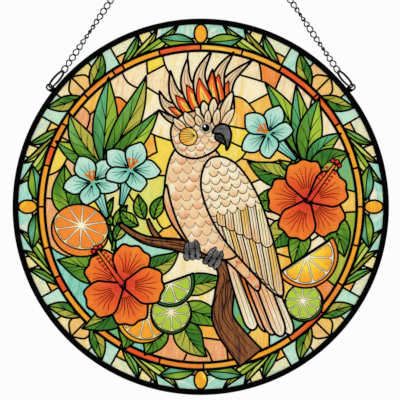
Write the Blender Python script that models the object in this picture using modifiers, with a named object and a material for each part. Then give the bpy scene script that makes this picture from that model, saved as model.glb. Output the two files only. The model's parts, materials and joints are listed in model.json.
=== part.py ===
"""Round leaded glass panel with a crested bird, hung from one ring on two twisted chains."""
import math
from collections import namedtuple

import bmesh
import bpy
from mathutils import Matrix, Vector
from mathutils.geometry import delaunay_2d_cdt

# Driving dimensions, in metres
PANEL_DIAMETER = 0.300
FRAME_WIDTH = 0.0046
FRAME_DEPTH = 0.0060
BORDER_WIDTH = 0.0155
BAND_WIDTH = 0.0055
GLASS_THICKNESS = 0.0030
LEAD_WIDTH = 0.0013
RING_LEAD_WIDTH = 0.0017
LEAD_DEPTH = 0.0044
CLEARANCE = 0.0003

EYELET_HOLE = 0.0032
EYELET_WALL = 0.0012
EYELET_DEPTH = 0.0016
SPLIT_RING_DIAMETER = 0.0180
SPLIT_RING_WIRE = 0.0009
SPLIT_RING_STANDOFF = 0.0038
HANGING_RING_DIAMETER = 0.0120
HANGING_RING_WIRE = 0.0016

LINK_LENGTH = 0.00735
LINK_WIDTH = 0.0056
LINK_END_WIDTH = 0.0036
LINK_WIRE = 0.0011
LINK_OVERLAP = 0.0004
LINK_COUNT = 35

# Angles, in degrees: the split rings' place from the panel's top, and how far their front leans inwards
RING_ANGLE = 48.5
SPLIT_RING_LEAN = 20.0

# Each chain's lowest link is twisted by this much, and the chain makes so many half turns on its way up
FIRST_TWIST = {"left": 0.0, "right": 30.0}
HALF_TURNS = {"left": 3, "right": 5}

# Numbers of flat sides on round stretches
FRAME_SIDES = 60
PICTURE_SIDES = 40
SPLIT_RING_SIDES = 20
HANGING_RING_SIDES = 20
EYELET_SIDES = 12

PANEL_RADIUS = PANEL_DIAMETER / 2
OPENING_RADIUS = PANEL_RADIUS - FRAME_WIDTH
LATTICE_RADIUS = OPENING_RADIUS - CLEARANCE
BAND_RADIUS = OPENING_RADIUS - BORDER_WIDTH
FIELD_RADIUS = BAND_RADIUS - BAND_WIDTH

# The picture is drawn in shares of the field: 100 is the field's radius
SHARE = FIELD_RADIUS / 100
SMALLEST_PANE = 48
TUBE_FOOT = 1.8

# A wire with few flat sides keeps the round wire's area, so its corners stand out by this share
LINK_SIDES = 4
CORNER_SHARE = math.sqrt(math.tau / (LINK_SIDES * math.sin(math.tau / LINK_SIDES)))

CREAM = (0.95, 0.88, 0.62)
STRAW = (0.96, 0.83, 0.42)
AMBER = (0.95, 0.62, 0.14)
ORANGE = (0.92, 0.33, 0.07)
LEAF = (0.28, 0.52, 0.12)
AQUA = (0.50, 0.84, 0.78)
FEATHER = (0.97, 0.87, 0.72)
PEACH = (0.96, 0.72, 0.50)
FLAME = (0.93, 0.32, 0.10)
SLATE = (0.20, 0.20, 0.20)
BARK = (0.33, 0.17, 0.08)
LIME = (0.55, 0.76, 0.22)
LEMON = (0.97, 0.80, 0.16)
BLACK = (0.012, 0.012, 0.013)

Figure = namedtuple("Figure", "name outline colour lead cuts")


# Outlines in the plane of the picture

def polar(radius, degrees, centre=(0.0, 0.0)):
    """A point at a radius and an angle about a centre."""
    turn = math.radians(degrees)
    return (centre[0] + radius * math.cos(turn), centre[1] + radius * math.sin(turn))


def arc(radius, start, end, steps, centre=(0.0, 0.0)):
    """Points along an arc from one angle to another, both ends included."""
    return [polar(radius, start + (end - start) * i / steps, centre) for i in range(steps + 1)]


def circle(radius, sides, centre=(0.0, 0.0)):
    """A closed circle of flat sides."""
    return arc(radius, 0.0, 360.0, sides, centre)[:-1]


def oval(centre, half_length, half_width, tilt, sides=14):
    """A closed ellipse whose long axis is tilted from the horizontal."""
    lean = math.radians(tilt)
    points = []
    for i in range(sides):
        turn = math.tau * i / sides
        along = half_length * math.cos(turn)
        across = half_width * math.sin(turn)
        points.append((centre[0] + along * math.cos(lean) - across * math.sin(lean),
                       centre[1] + along * math.sin(lean) + across * math.cos(lean)))
    return points


def leaf(base, tip, width, bend=0.0, steps=4):
    """A pointed leaf whose midrib runs from base to tip and bends to its left."""
    start, end = Vector(base), Vector(tip)
    along = end - start
    across = Vector((-along.y, along.x)).normalized()
    right, left = [], []
    for i in range(1, steps):
        share = i / steps
        rib = start + along * share + across * bend * 4 * share * (1 - share)
        swell = across * width / 2 * math.sin(math.pi * share ** 0.85)
        right.append(tuple(rib - swell))
        left.append(tuple(rib + swell))
    return [tuple(base)] + right + [tuple(tip)] + left[::-1]


def blossom(centre, radius, petals, turn, notch=0.62, steps=3, foot=None):
    """An open flower seen from the front, with round petals, and a tube to its foot from one notch."""
    points = []
    for petal in range(petals):
        middle = turn + 360.0 * petal / petals
        half = 180.0 / petals
        if foot is not None and petal == 0:
            along = (Vector(foot) - Vector(centre)).normalized()
            across = Vector((-along.y, along.x))
            points += [tuple(Vector(foot) - across * TUBE_FOOT), tuple(Vector(foot) + across * TUBE_FOOT)]
        else:
            points.append(polar(radius * notch, middle - half, centre))
        for i in range(steps):
            spread = half * 0.62 * (2 * i / (steps - 1) - 1)
            crown = 1.0 if 0 < i < steps - 1 else 0.93
            points.append(polar(radius * crown, middle + spread, centre))
    return points


def crest(centre, inner, reaches, start, end):
    """A fan of curved pointed feathers about a centre, from one angle round to another."""
    step = (end - start) / len(reaches)
    points = [polar(inner, start, centre)]
    for number, reach in enumerate(reaches):
        left = start + step * number
        points.append(polar(reach * 0.66, left + step * 0.28, centre))
        points.append(polar(reach, left + step * 0.72, centre))
        points.append(polar(reach * 0.7, left + step * 0.82, centre))
        points.append(polar(inner, left + step, centre))
    return points


def smooth(outline, steps=2):
    """A closed outline with points added between its own, on a smooth curve through them."""
    points = []
    for i in range(len(outline)):
        a, b, c, d = (Vector(outline[(i + k) % len(outline)]) for k in (-1, 0, 1, 2))
        for k in range(steps):
            t = k / steps
            points.append(tuple(0.5 * (2 * b + (c - a) * t + (2 * a - 5 * b + 4 * c - d) * t ** 2
                                       + (3 * b - a - 3 * c + d) * t ** 3)))
    return points


def tapered(path, widths):
    """A closed outline along an open path, with its own width at each point."""
    right, left = [], []
    for i, (point, width) in enumerate(zip(path, widths)):
        before, after = path[max(i - 1, 0)], path[min(i + 1, len(path) - 1)]
        along = (Vector(after) - Vector(before)).normalized()
        across = Vector((-along.y, along.x)) * width / 2
        right.append(tuple(Vector(point) - across))
        left.append(tuple(Vector(point) + across))
    return right + left[::-1]


def moved_out(outline, distance, longest):
    """The outline with each side moved outwards, its corners mitred up to a longest share."""
    moved = []
    for i, point in enumerate(outline):
        here = Vector(point)
        before = (here - Vector(outline[i - 1])).normalized()
        after = (Vector(outline[(i + 1) % len(outline)]) - here).normalized()
        first, second = Vector((before.y, -before.x)), Vector((after.y, -after.x))
        middle = (first + second).normalized()
        moved.append(here + middle * distance / max(middle.dot(first), 1 / longest))
    return moved


def ribbon(path, width):
    """A thin closed strip along an open path, for a cut inside a figure."""
    return tapered(path, [width] * len(path))


# The picture: each figure lies over the ones before it

def border_figures():
    """The border's pale panes, parted by a long curved leaf on each diagonal."""
    outer, inner = LATTICE_RADIUS / SHARE, BAND_RADIUS / SHARE
    depth = outer - inner
    figures = [Figure("glass_border", circle(outer, FRAME_SIDES), CREAM, RING_LEAD_WIDTH, [])]
    steps = 6
    for quarter in range(4):
        lower, upper = [], []
        for i in range(steps + 1):
            share = i / steps
            angle = 90.0 * quarter + 27 + 36 * share
            middle = inner + depth * (0.04 + 0.92 * share)
            swell = 0.28 * depth * math.sin(math.pi * share)
            lower.append(polar(middle - swell, angle))
            upper.append(polar(middle + swell, angle))
        figures.append(Figure("glass_border_leaf", lower + upper[-2:0:-1], LEAF, LEAD_WIDTH, []))
    return figures


def ring_figures():
    """The orange and amber band, and the pale field inside it."""
    outer, inner = BAND_RADIUS / SHARE, FIELD_RADIUS / SHARE
    joints = [[polar(inner * 0.9, angle), polar(outer * 1.1, angle)] for angle in (30, 210)]
    band = Figure("glass_band", circle(outer, PICTURE_SIDES), AMBER, RING_LEAD_WIDTH, joints)
    cuts = [
        [(-46, 40), (-16, 34)],
        [(2, 80), (-3, 102)],
        [(10, 62), (44, 47)],
        [(-40, -22), (-45, -40)],
    ]
    field = Figure("glass_field", circle(inner, PICTURE_SIDES), STRAW, RING_LEAD_WIDTH, cuts)
    return [band, field]


def long_leaf_figures():
    """Two fans of long leaves, one above the left flowers and one above the right blossom."""
    left_base, right_base = (-63, 27), (68, 26)
    left = [((-84, 42), 15, -3), ((-58, 75), 16, 0), ((-35, 84), 16, -3), ((-27, 62), 13, -3)]
    right = [((41, 80), 15, -3), ((60, 74), 13, 0), ((79, 54), 14, 3)]
    figures = []
    for number, (tip, width, bend) in enumerate(left, 1):
        figures.append(Figure(f"glass_long_leaf_left_{number}", leaf(left_base, tip, width, bend),
                              LEAF, LEAD_WIDTH, []))
    for number, (tip, width, bend) in enumerate(right, 1):
        figures.append(Figure(f"glass_long_leaf_right_{number}", leaf(right_base, tip, width, bend),
                              LEAF, LEAD_WIDTH, []))
    return figures


def broad_leaf_figures():
    """The broad leaves round the two blossoms and under the fruit."""
    leaves = [
        ((-82, -6), (-87, 27), 17, 2), ((-58, -44), (-90, -34), 18, 0),
        ((-28, -74), (-36, -95), 17, 2),
        ((-12, -72), (4, -96), 18, -3), ((-14, -52), (16, -46), 14, 0),
        ((60, 18), (30, 29), 15, 2),
        ((78, 20), (91, 33), 14, 2), ((60, -12), (45, -26), 16, -2),
        ((82, -10), (90, -30), 15, 2),
    ]
    return [Figure(f"glass_broad_leaf_{number}", leaf(base, tip, width, bend), LEAF, LEAD_WIDTH, [])
            for number, (base, tip, width, bend) in enumerate(leaves, 1)]


def fruit_figures():
    """Cut citrus fruit: an orange half, lemon and lime rounds, and two halves with a flat side."""
    lemon_half = arc(21, -147, 33, 9, (67, -31))
    lime_half = arc(16, -160, 20, 8, (-20, -48))
    return [
        Figure("glass_orange_half", oval((-75, -14), 19, 17, -20), ORANGE, LEAD_WIDTH, []),
        Figure("glass_lemon_round", circle(18, 16, (-37, -70)), LEMON, LEAD_WIDTH, []),
        Figure("glass_lime_round_left", circle(13.5, 14, (-19, -69)), LIME, LEAD_WIDTH, []),
        Figure("glass_lime_half", lime_half, LIME, LEAD_WIDTH, []),
        Figure("glass_lime_round_right", circle(12.5, 14, (66, -61)), LIME, LEAD_WIDTH, []),
        Figure("glass_lemon_half", lemon_half, LEMON, LEAD_WIDTH, []),
    ]


def flower_figures():
    """Three aqua trumpet flowers with their tubes, and two large orange blossoms."""
    figures = []
    trumpets = [((-69, 16), (-60, -7)), ((-45, 24), (-50, 1)), ((43, 47), (61, 30))]
    for number, (centre, foot) in enumerate(trumpets, 1):
        down = math.degrees(math.atan2(foot[1] - centre[1], foot[0] - centre[0]))
        outline = blossom(centre, 15, 5, down + 36, 0.74, 2, foot)
        figures.append(Figure(f"glass_trumpet_{number}", outline, AQUA, LEAD_WIDTH, []))
    for name, centre, turn in (("left", (-50, -50), 70), ("right", (69, 4), 100)):
        figures.append(Figure(f"glass_blossom_{name}", blossom(centre, 25, 5, turn), ORANGE, LEAD_WIDTH, []))
    return figures


def branch_figure():
    """The brown branch, from its thin end on the left to its foot on the ring."""
    path = [(-52, -11), (-36, -21), (-12, -25), (8, -31), (17, -42), (15, -57), (14, -72), (24, -97)]
    return Figure("glass_branch", tapered(path, [2, 5, 8, 9, 11, 11, 12, 20]), BARK, LEAD_WIDTH, [])


def bird_figures():
    """The crested bird: tail, breast, wing, crest, head and beak."""
    tail = [(12, -20), (30, -30), (46, -54), (59, -78), (53, -83), (47, -78), (42, -80), (36, -74), (24, -50)]
    breast = smooth([(-15, 38), (-23, 16), (-20, -6), (-8, -24), (14, -34), (26, -26), (24, 4), (8, 38)])
    wing = smooth([(6, 31), (0, 14), (8, -10), (24, -32), (51, -58), (50, -36), (38, 4), (22, 28)])
    head = smooth([(-19, 44), (-17, 58), (-5, 66), (8, 64), (14, 52), (10, 38), (-2, 31), (-14, 34)])
    beak = [(8, 54), (15, 57), (20, 50), (18, 36), (13, 41), (7, 44)]
    plume = crest((-2, 54), 20, (34, 37, 40, 43, 44, 46), 160, 36)
    shapes = [("tail", tail, PEACH), ("breast", breast, FEATHER), ("wing", wing, FEATHER),
              ("crest", plume + [(0, 50)], FLAME), ("head", head, FEATHER), ("beak", beak, SLATE)]
    return [Figure(f"glass_bird_{name}", anticlockwise(shape), colour, LEAD_WIDTH, [])
            for name, shape, colour in shapes]


def picture():
    """All the figures, from the lowest to the topmost."""
    return (border_figures() + ring_figures() + long_leaf_figures() + broad_leaf_figures()
            + fruit_figures() + flower_figures() + [branch_figure()] + bird_figures())


# From overlapping figures to panes and lead

def area(outline):
    """The signed area of a closed outline, positive if it runs anticlockwise."""
    total = 0.0
    for i, (x, y) in enumerate(outline):
        before_x, before_y = outline[i - 1]
        total += before_x * y - x * before_y
    return total / 2


def anticlockwise(outline):
    """The outline in anticlockwise order."""
    return outline if area(outline) > 0 else outline[::-1]


def open_areas(figures, clearance):
    """The connected areas of each figure that no lead and no other figure covers."""
    points, faces, owners = [], [], []

    def add(outline, owner):
        faces.append(list(range(len(points), len(points) + len(outline))))
        points.extend(Vector(point) for point in outline)
        owners.append(owner)

    for index, figure in enumerate(figures):
        half = figure.lead / SHARE / 2 + clearance / SHARE
        outline = anticlockwise(figure.outline)
        add(moved_out(outline, half, 1.6), (index, "around"))
        add(moved_out(outline, -half, 5.0), (index, "inside"))
        for path in figure.cuts:
            add(ribbon(path, 2 * half), (index, "cut"))

    corners, _, triangles, _, _, origins = delaunay_2d_cdt(points, [], faces, 1, 1e-4, True)
    areas = {}
    for triangle, sources in zip(triangles, origins):
        marks = {owners[source] for source in sources}
        top = max((index for index, kind in marks if kind == "around"), default=-1)
        if (top, "inside") in marks and (top, "cut") not in marks:
            areas.setdefault(top, []).append(tuple(triangle))
    found = []
    for index, members in areas.items():
        for group in connected(members):
            found.append((figures[index], [tidy([tuple(corners[i]) for i in loop]) for loop in loops(group)]))
    return [(figure, outlines) for figure, outlines in found if min(len(line) for line in outlines) > 2]


def connected(triangles):
    """Groups of triangles that share edges."""
    across = {}
    for number, (a, b, c) in enumerate(triangles):
        for edge in ((a, b), (b, c), (c, a)):
            across.setdefault(frozenset(edge), []).append(number)
    neighbours = {number: set() for number in range(len(triangles))}
    for sharing in across.values():
        for number in sharing:
            neighbours[number].update(sharing)
    groups, seen = [], set()
    for start in neighbours:
        if start in seen:
            continue
        group, waiting = [], [start]
        seen.add(start)
        while waiting:
            number = waiting.pop()
            group.append(triangles[number])
            for other in neighbours[number] - seen:
                seen.add(other)
                waiting.append(other)
        groups.append(group)
    return groups


def loops(triangles):
    """The closed boundary loops of a group of triangles, the longest first."""
    edges = {edge for a, b, c in triangles for edge in ((a, b), (b, c), (c, a))}
    following = {}
    for start, end in edges:
        if (end, start) not in edges:
            following.setdefault(start, []).append(end)
    found = []
    while following:
        start = min(following)
        loop, here = [], start
        while here in following:
            loop.append(here)
            after = following[here].pop()
            if not following[here]:
                del following[here]
            here = after
        found.append(loop)
    return sorted(found, key=len, reverse=True)


def tidy(outline, flat=0.1, short=0.5):
    """The outline without points that lie on a straight line or close to the point before."""
    kept = list(outline)
    changed = True
    while changed and len(kept) > 3:
        changed = False
        for i in range(len(kept)):
            before, here, after = Vector(kept[i - 1]), Vector(kept[i]), Vector(kept[(i + 1) % len(kept)])
            base = (after - before).length
            height = abs((after - before).cross(here - before)) / max(base, 1e-9)
            if height < flat or ((here - before).length < short and height < 2 * flat):
                del kept[i]
                changed = True
                break
    return kept


def inside(point, outline):
    """Whether a point lies inside a closed outline."""
    hits = 0
    for i, (x, y) in enumerate(outline):
        before_x, before_y = outline[i - 1]
        if (y > point[1]) != (before_y > point[1]):
            crossing = x + (point[1] - y) * (before_x - x) / (before_y - y)
            hits += point[0] < crossing
    return hits % 2 == 1


def panes_and_holes():
    """The glass panes, and the holes in the lead that hold them with a clearance all round."""
    figures = picture()
    panes = [(figure, outlines) for figure, outlines in open_areas(figures, CLEARANCE)
             if abs(area(outlines[0])) > SMALLEST_PANE]
    holes = []
    for figure, outlines in open_areas(figures, 0.0):
        if any(owner.name == figure.name and inside(inner[0][0], outlines[0]) for owner, inner in panes):
            holes.append(outlines)
    return panes, holes


# Objects

def material(name, colour, roughness, metallic=0.0):
    """A Principled material, made once for each name."""
    found = bpy.data.materials.get(name)
    if found is None:
        found = bpy.data.materials.new(name)
        found.use_nodes = True
        shader = found.node_tree.nodes["Principled BSDF"]
        shader.inputs["Base Color"].default_value = (*colour, 1.0)
        shader.inputs["Roughness"].default_value = roughness
        shader.inputs["Metallic"].default_value = metallic
    return found


def place(name, data, collection, colour, roughness=0.45, metallic=0.0):
    """A new object in a collection, with its own material."""
    thing = bpy.data.objects.new(name, data)
    collection.objects.link(thing)
    data.materials.append(material(f"{name}_finish", colour, roughness, metallic))
    return thing


def flat_curve(name, outlines, thickness, scale):
    """A flat filled curve of closed outlines, thick to both sides of its plane."""
    curve = bpy.data.curves.new(name, "CURVE")
    curve.dimensions = "2D"
    curve.fill_mode = "BOTH"
    curve.extrude = thickness / 2
    for outline in outlines:
        spline = curve.splines.new("POLY")
        spline.points.add(len(outline) - 1)
        for point, (x, y) in zip(spline.points, outline):
            point.co = (x * scale, y * scale, 0.0, 1.0)
        spline.use_cyclic_u = True
    return curve


def as_mesh(thing, merge=1e-6):
    """The object's evaluated shape as a welded mesh object in its place."""
    shape = bpy.data.meshes.new_from_object(thing.evaluated_get(bpy.context.evaluated_depsgraph_get()))
    solid = bpy.data.objects.new(thing.name + "_solid", shape)
    solid.matrix_world = thing.matrix_world
    build = bmesh_of(shape, merge)
    build.to_mesh(shape)
    build.free()
    for collection in thing.users_collection:
        collection.objects.link(solid)
    data = thing.data
    bpy.data.objects.remove(thing)
    bpy.data.curves.remove(data)
    return solid


def bmesh_of(shape, merge):
    """A mesh opened for editing, with its doubles merged."""
    build = bmesh.new()
    build.from_mesh(shape)
    bmesh.ops.remove_doubles(build, verts=build.verts, dist=merge)
    return build


def turned(name, profile):
    """A mesh whose closed profile of radius and height a Screw modifier turns about Z."""
    shape = bpy.data.meshes.new(name)
    corners = [(radius, 0.0, height) for radius, height in profile]
    shape.from_pydata(corners, [(i, (i + 1) % len(corners)) for i in range(len(corners))], [])
    return shape


def add_screw(thing, sides):
    """Turn the object's profile once round, welded at the seam."""
    screw = thing.modifiers.new("turn", "SCREW")
    screw.angle = math.tau
    screw.steps = sides
    screw.render_steps = sides
    screw.use_merge_vertices = True
    screw.merge_threshold = 1e-5
    screw.use_smooth_shade = False


def join(target, operand, operation):
    """Add or cut with a Boolean, and keep the operand as a hidden wire shape."""
    boolean = target.modifiers.new(operation.lower(), "BOOLEAN")
    boolean.operation = operation
    boolean.object = operand
    boolean.solver = "EXACT"
    operand.hide_render = True
    operand.display_type = "WIRE"


def side_of(side):
    """Minus one on the left and one on the right."""
    return -1.0 if side == "left" else 1.0


def rim_axes(side):
    """The unit vectors outwards from the panel's centre and up along the rim, at a split ring."""
    turn = math.radians(RING_ANGLE)
    outwards = Vector((side_of(side) * math.sin(turn), 0.0, math.cos(turn)))
    upwards = Vector((-side_of(side) * math.cos(turn), 0.0, math.sin(turn)))
    return outwards, upwards


def split_ring_centre(side):
    """The split ring's centre, from the panel's centre."""
    outwards, _ = rim_axes(side)
    return outwards * (PANEL_RADIUS + SPLIT_RING_STANDOFF)


def split_ring_reach():
    """From a split ring's centre to the middle of its wire."""
    return (SPLIT_RING_DIAMETER - SPLIT_RING_WIRE) / 2


def hanging_ring_reach():
    """From the hanging ring's centre to the middle of its wire."""
    return (HANGING_RING_DIAMETER - HANGING_RING_WIRE) / 2


def link_reach():
    """From a link's centre to the middle of its end wire."""
    return (LINK_LENGTH - LINK_WIRE) / 2


def link_pitch():
    """From one link's centre to the next."""
    return LINK_LENGTH - 2 * LINK_WIRE + LINK_OVERLAP


def hook_depth(ring_wire):
    """How far a link's end wire lies past the middle of the ring wire that it hooks round."""
    return ring_wire / 2 + LINK_WIRE / 2 * CORNER_SHARE + CLEARANCE


def chain_line(side):
    """A chain's hook on its split ring, from the panel's centre, and its straight length to the hanging ring."""
    _, upwards = rim_axes(side)
    hook = split_ring_centre(side) + upwards * split_ring_reach()
    links = (LINK_COUNT - 1) * link_pitch() + 2 * link_reach()
    length = links - hook_depth(SPLIT_RING_WIRE) - hook_depth(HANGING_RING_WIRE)
    return hook, length


def panel_centre():
    """The panel's centre, below the hanging point at the inner top of the hanging ring."""
    hook, length = chain_line("right")
    to_ring_centre = length + hanging_ring_reach()
    rise = math.sqrt(to_ring_centre ** 2 - hook.x ** 2)
    return ring_centre() - Vector((0.0, 0.0, rise + hook.z))


def ring_centre():
    """The hanging ring's centre."""
    return Vector((0.0, 0.0, HANGING_RING_WIRE - HANGING_RING_DIAMETER / 2))


def build_glass(collection, panel):
    """The lead lattice and one pane for each open area of the picture."""
    panes, holes = panes_and_holes()
    rim = circle(LATTICE_RADIUS / SHARE, FRAME_SIDES)
    lattice = flat_curve("lead_lattice", [rim] + [line for outlines in holes for line in outlines],
                         LEAD_DEPTH, SHARE)
    place("lead_lattice", lattice, collection, BLACK, 0.5).parent = panel
    counts = {}

    def rank(item):
        """The largest pane first, and equal ones from left to right and up."""
        outline = item[1][0]
        middle = sum((Vector(point) for point in outline), Vector((0.0, 0.0))) / len(outline)
        return (-round(abs(area(outline)), 1), middle.x + middle.y / 3)

    for figure, outlines in sorted(panes, key=rank):
        counts[figure.name] = counts.get(figure.name, 0) + 1
        several = sum(owner.name == figure.name for owner, _ in panes) > 1
        name = f"{figure.name}_{counts[figure.name]}" if several else figure.name
        pane = flat_curve(name, outlines, GLASS_THICKNESS, SHARE)
        place(name, pane, collection, figure.colour, 0.3).parent = panel


def build_frame(collection, cutters, panel):
    """The flat frame ring with an eyelet on its edge under each split ring."""
    profile = [(OPENING_RADIUS, -FRAME_DEPTH / 2), (OPENING_RADIUS, FRAME_DEPTH / 2),
               (PANEL_RADIUS, FRAME_DEPTH / 2), (PANEL_RADIUS, -FRAME_DEPTH / 2)]
    frame = place("outer_frame", turned("outer_frame", profile), collection, BLACK, 0.5)
    frame.parent = panel
    add_screw(frame, FRAME_SIDES)
    for side in ("left", "right"):
        _, upwards = rim_axes(side)
        hole = split_ring_centre(side) - upwards * split_ring_reach()
        centre = Vector((hole.x, hole.z))
        turn = math.degrees(math.atan2(centre.y, centre.x))
        radius = EYELET_HOLE / 2 + EYELET_WALL
        neck = polar(PANEL_RADIUS - FRAME_WIDTH / 2, turn)
        across = Vector((-centre.y, centre.x)).normalized() * radius * 0.8
        outline = arc(radius, turn - 90, turn + 90, EYELET_SIDES // 2, tuple(centre))
        outline += [tuple(Vector(neck) + across), tuple(Vector(neck) - across)]
        hollow = circle(EYELET_HOLE / 2, EYELET_SIDES, tuple(centre))
        tab = bpy.data.objects.new(f"eyelet_{side}", flat_curve(f"eyelet_{side}", [outline, hollow],
                                                               EYELET_DEPTH, 1.0))
        cutters.objects.link(tab)
        tab.parent = panel
        bpy.context.view_layer.update()
        join(frame, as_mesh(tab), "UNION")


def build_split_ring(side, collection):
    """A split ring through its eyelet, as one solid of the two turns of wire side by side."""
    reach, half, height = split_ring_reach(), SPLIT_RING_WIRE / 2, SPLIT_RING_WIRE
    profile = [(reach - half, -height), (reach - half, height), (reach + half, height), (reach + half, -height)]
    outwards, upwards = rim_axes(side)
    lean = math.radians(SPLIT_RING_LEAN)
    forwards = Vector((0.0, -math.cos(lean), 0.0)) - outwards * math.sin(lean)
    axis = upwards.cross(forwards)
    ring = place(f"split_ring_{side}", turned(f"split_ring_{side}", profile), collection,
                 BLACK, 0.35, 0.6)
    add_screw(ring, SPLIT_RING_SIDES)
    turn = Matrix((upwards, forwards, axis)).transposed().to_4x4()
    ring.matrix_world = Matrix.Translation(panel_centre() + split_ring_centre(side)) @ turn


def build_hanging_ring(collection):
    """The ring at the top, whose inner top is the hanging point."""
    reach, half = hanging_ring_reach(), HANGING_RING_WIRE / 2
    profile = [polar(half, -30 - 60 * i, (reach, 0.0)) for i in range(6)]
    ring = place("hanging_ring", turned("hanging_ring", profile), collection, BLACK, 0.35, 0.6)
    add_screw(ring, HANGING_RING_SIDES)
    ring.matrix_world = Matrix.Translation(ring_centre()) @ Matrix.Rotation(math.pi / 2, 4, "X")


def link_points(centre, along, twist, middle_turn):
    """The six corners of a twisted link about the line of its chain."""
    across = Vector((along.z, 0.0, -along.x))
    depth = Vector((0.0, 1.0, 0.0))
    reach, end, middle = link_reach(), (LINK_END_WIDTH - LINK_WIRE) / 2, (LINK_WIDTH - LINK_WIRE) / 2
    corners = [(reach, end), (0.0, middle), (-reach, end), (-reach, -end), (0.0, -middle), (reach, -end)]
    points = []
    for distance, width in corners:
        turn = math.radians(middle_turn + twist / 2 * distance / reach)
        points.append(centre + along * distance + (across * math.cos(turn) + depth * math.sin(turn)) * width)
    return points


def link_turns(side):
    """Each link's twist and the turn of its middle, so that neighbours cross at right angles."""
    first = FIRST_TWIST[side]
    low_end = first - 90.0
    roll = (90.0 + 180.0 * HALF_TURNS[side] - low_end) / (LINK_COUNT - 2)
    turns = [(first, first / 2)]
    for number in range(1, LINK_COUNT - 1):
        turns.append((90.0 + roll, low_end + (number - 1) * roll + (90.0 + roll) / 2))
    return turns + [(0.0, 90.0)]


def build_chain(side, collection, cutters):
    """A chain of twisted links, hooked round its split ring and the hanging ring."""
    hook, length = chain_line(side)
    start = panel_centre() + hook
    along = (ring_centre() - start).normalized()
    first = start + along * (link_reach() - hook_depth(SPLIT_RING_WIRE))
    halves = []
    for parity in range(2):
        curve = bpy.data.curves.new(f"chain_{side}_{parity}", "CURVE")
        curve.dimensions = "3D"
        curve.bevel_depth = LINK_WIRE / 2 * CORNER_SHARE
        curve.bevel_resolution = LINK_SIDES // 2 - 2
        for number, (twist, turn) in enumerate(link_turns(side)):
            if number % 2 != parity:
                continue
            points = link_points(first + along * link_pitch() * number, along, twist, side_of(side) * turn)
            spline = curve.splines.new("POLY")
            spline.points.add(len(points) - 1)
            for target, point in zip(spline.points, points):
                target.co = (*point, 1.0)
            spline.use_cyclic_u = True
        thing = bpy.data.objects.new(curve.name, curve)
        cutters.objects.link(thing)
        bpy.context.view_layer.update()
        halves.append(as_mesh(thing))
    chain = place(f"chain_{side}", halves[0].data, collection, BLACK, 0.35, 0.6)
    bpy.data.objects.remove(halves[0])
    join(chain, halves[1], "UNION")


def main():
    for thing in list(bpy.data.objects):
        bpy.data.objects.remove(thing)
    collection = bpy.data.collections.new("stained_glass_window")
    cutters = bpy.data.collections.new("cutters")
    bpy.context.scene.collection.children.link(collection)
    bpy.context.scene.collection.children.link(cutters)
    panel = bpy.data.objects.new("panel_centre", None)
    collection.objects.link(panel)
    panel.location = panel_centre()
    panel.rotation_euler = (math.pi / 2, 0.0, 0.0)
    bpy.context.view_layer.update()
    build_glass(collection, panel)
    build_frame(collection, cutters, panel)
    build_hanging_ring(collection)
    for side in ("left", "right"):
        build_split_ring(side, collection)
        build_chain(side, collection, cutters)
    bpy.context.view_layer.update()


main()
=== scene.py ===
"""Looks of the round leaded glass panel: streaky panes, lead beads, frame, rings and chains."""
import json
import math
from collections import Counter, namedtuple

import bmesh
import bpy
from mathutils import Matrix, Vector
from mathutils.geometry import delaunay_2d_cdt

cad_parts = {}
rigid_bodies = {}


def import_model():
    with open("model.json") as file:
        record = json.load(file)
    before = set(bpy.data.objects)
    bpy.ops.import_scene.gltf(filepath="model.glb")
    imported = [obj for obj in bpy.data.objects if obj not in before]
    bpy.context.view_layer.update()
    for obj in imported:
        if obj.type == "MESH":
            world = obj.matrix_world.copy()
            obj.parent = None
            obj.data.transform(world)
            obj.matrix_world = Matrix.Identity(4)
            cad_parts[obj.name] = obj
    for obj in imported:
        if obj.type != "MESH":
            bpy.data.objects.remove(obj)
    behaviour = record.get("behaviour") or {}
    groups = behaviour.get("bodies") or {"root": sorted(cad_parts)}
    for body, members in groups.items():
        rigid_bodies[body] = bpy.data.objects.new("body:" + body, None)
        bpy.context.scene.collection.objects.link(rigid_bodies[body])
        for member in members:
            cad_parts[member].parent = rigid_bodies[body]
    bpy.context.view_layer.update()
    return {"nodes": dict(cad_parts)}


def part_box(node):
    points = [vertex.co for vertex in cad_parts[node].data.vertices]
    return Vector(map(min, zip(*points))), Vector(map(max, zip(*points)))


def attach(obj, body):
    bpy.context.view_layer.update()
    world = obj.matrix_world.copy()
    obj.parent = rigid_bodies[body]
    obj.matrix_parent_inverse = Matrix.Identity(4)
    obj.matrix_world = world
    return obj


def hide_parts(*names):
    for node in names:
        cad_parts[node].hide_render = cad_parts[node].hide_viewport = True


# Dimensions in metres, as in the CAD part
PANEL_RADIUS = 0.150
FRAME_WIDTH = 0.0046
FRAME_DEPTH = 0.0060
FRAME_ROUNDING = 0.0007
OPENING_RADIUS = PANEL_RADIUS - FRAME_WIDTH
FIELD_RADIUS = 0.1244
GLASS_THICKNESS = 0.0030
SHARE = FIELD_RADIUS / 100
RING_ANGLE = 48.5
SPLIT_RING_LEAN = 20.0
SPLIT_RING_DIAMETER = 0.0180
SPLIT_RING_WIRE = 0.0009
SPLIT_RING_STANDOFF = 0.0038
SPLIT_RING_START = 2.4
HANGING_RING_DIAMETER = 0.0120
HANGING_RING_WIRE = 0.0016
HANGING_RING_GROOVE = 0.00012
EYELET_HOLE = 0.0032
EYELET_WALL = 0.0012
EYELET_DEPTH = 0.0016
EYELET_ROOT = 0.0020
EYELET_ROUNDING = 0.00018
LINK_LENGTH = 0.00735
LINK_WIDTH = 0.0056
LINK_END_WIDTH = 0.0036
LINK_WIRE = 0.0011
LINK_OVERLAP = 0.0004
HOOK_OVERLAP = 0.0003
LINK_COUNT = 35
FIRST_TWIST = {"left": 0.0, "right": 30.0}
HALF_TURNS = {"left": 3, "right": 5}

# Edges flatter than this, in degrees, are smooth
SMOOTH_ANGLE = 50

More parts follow.
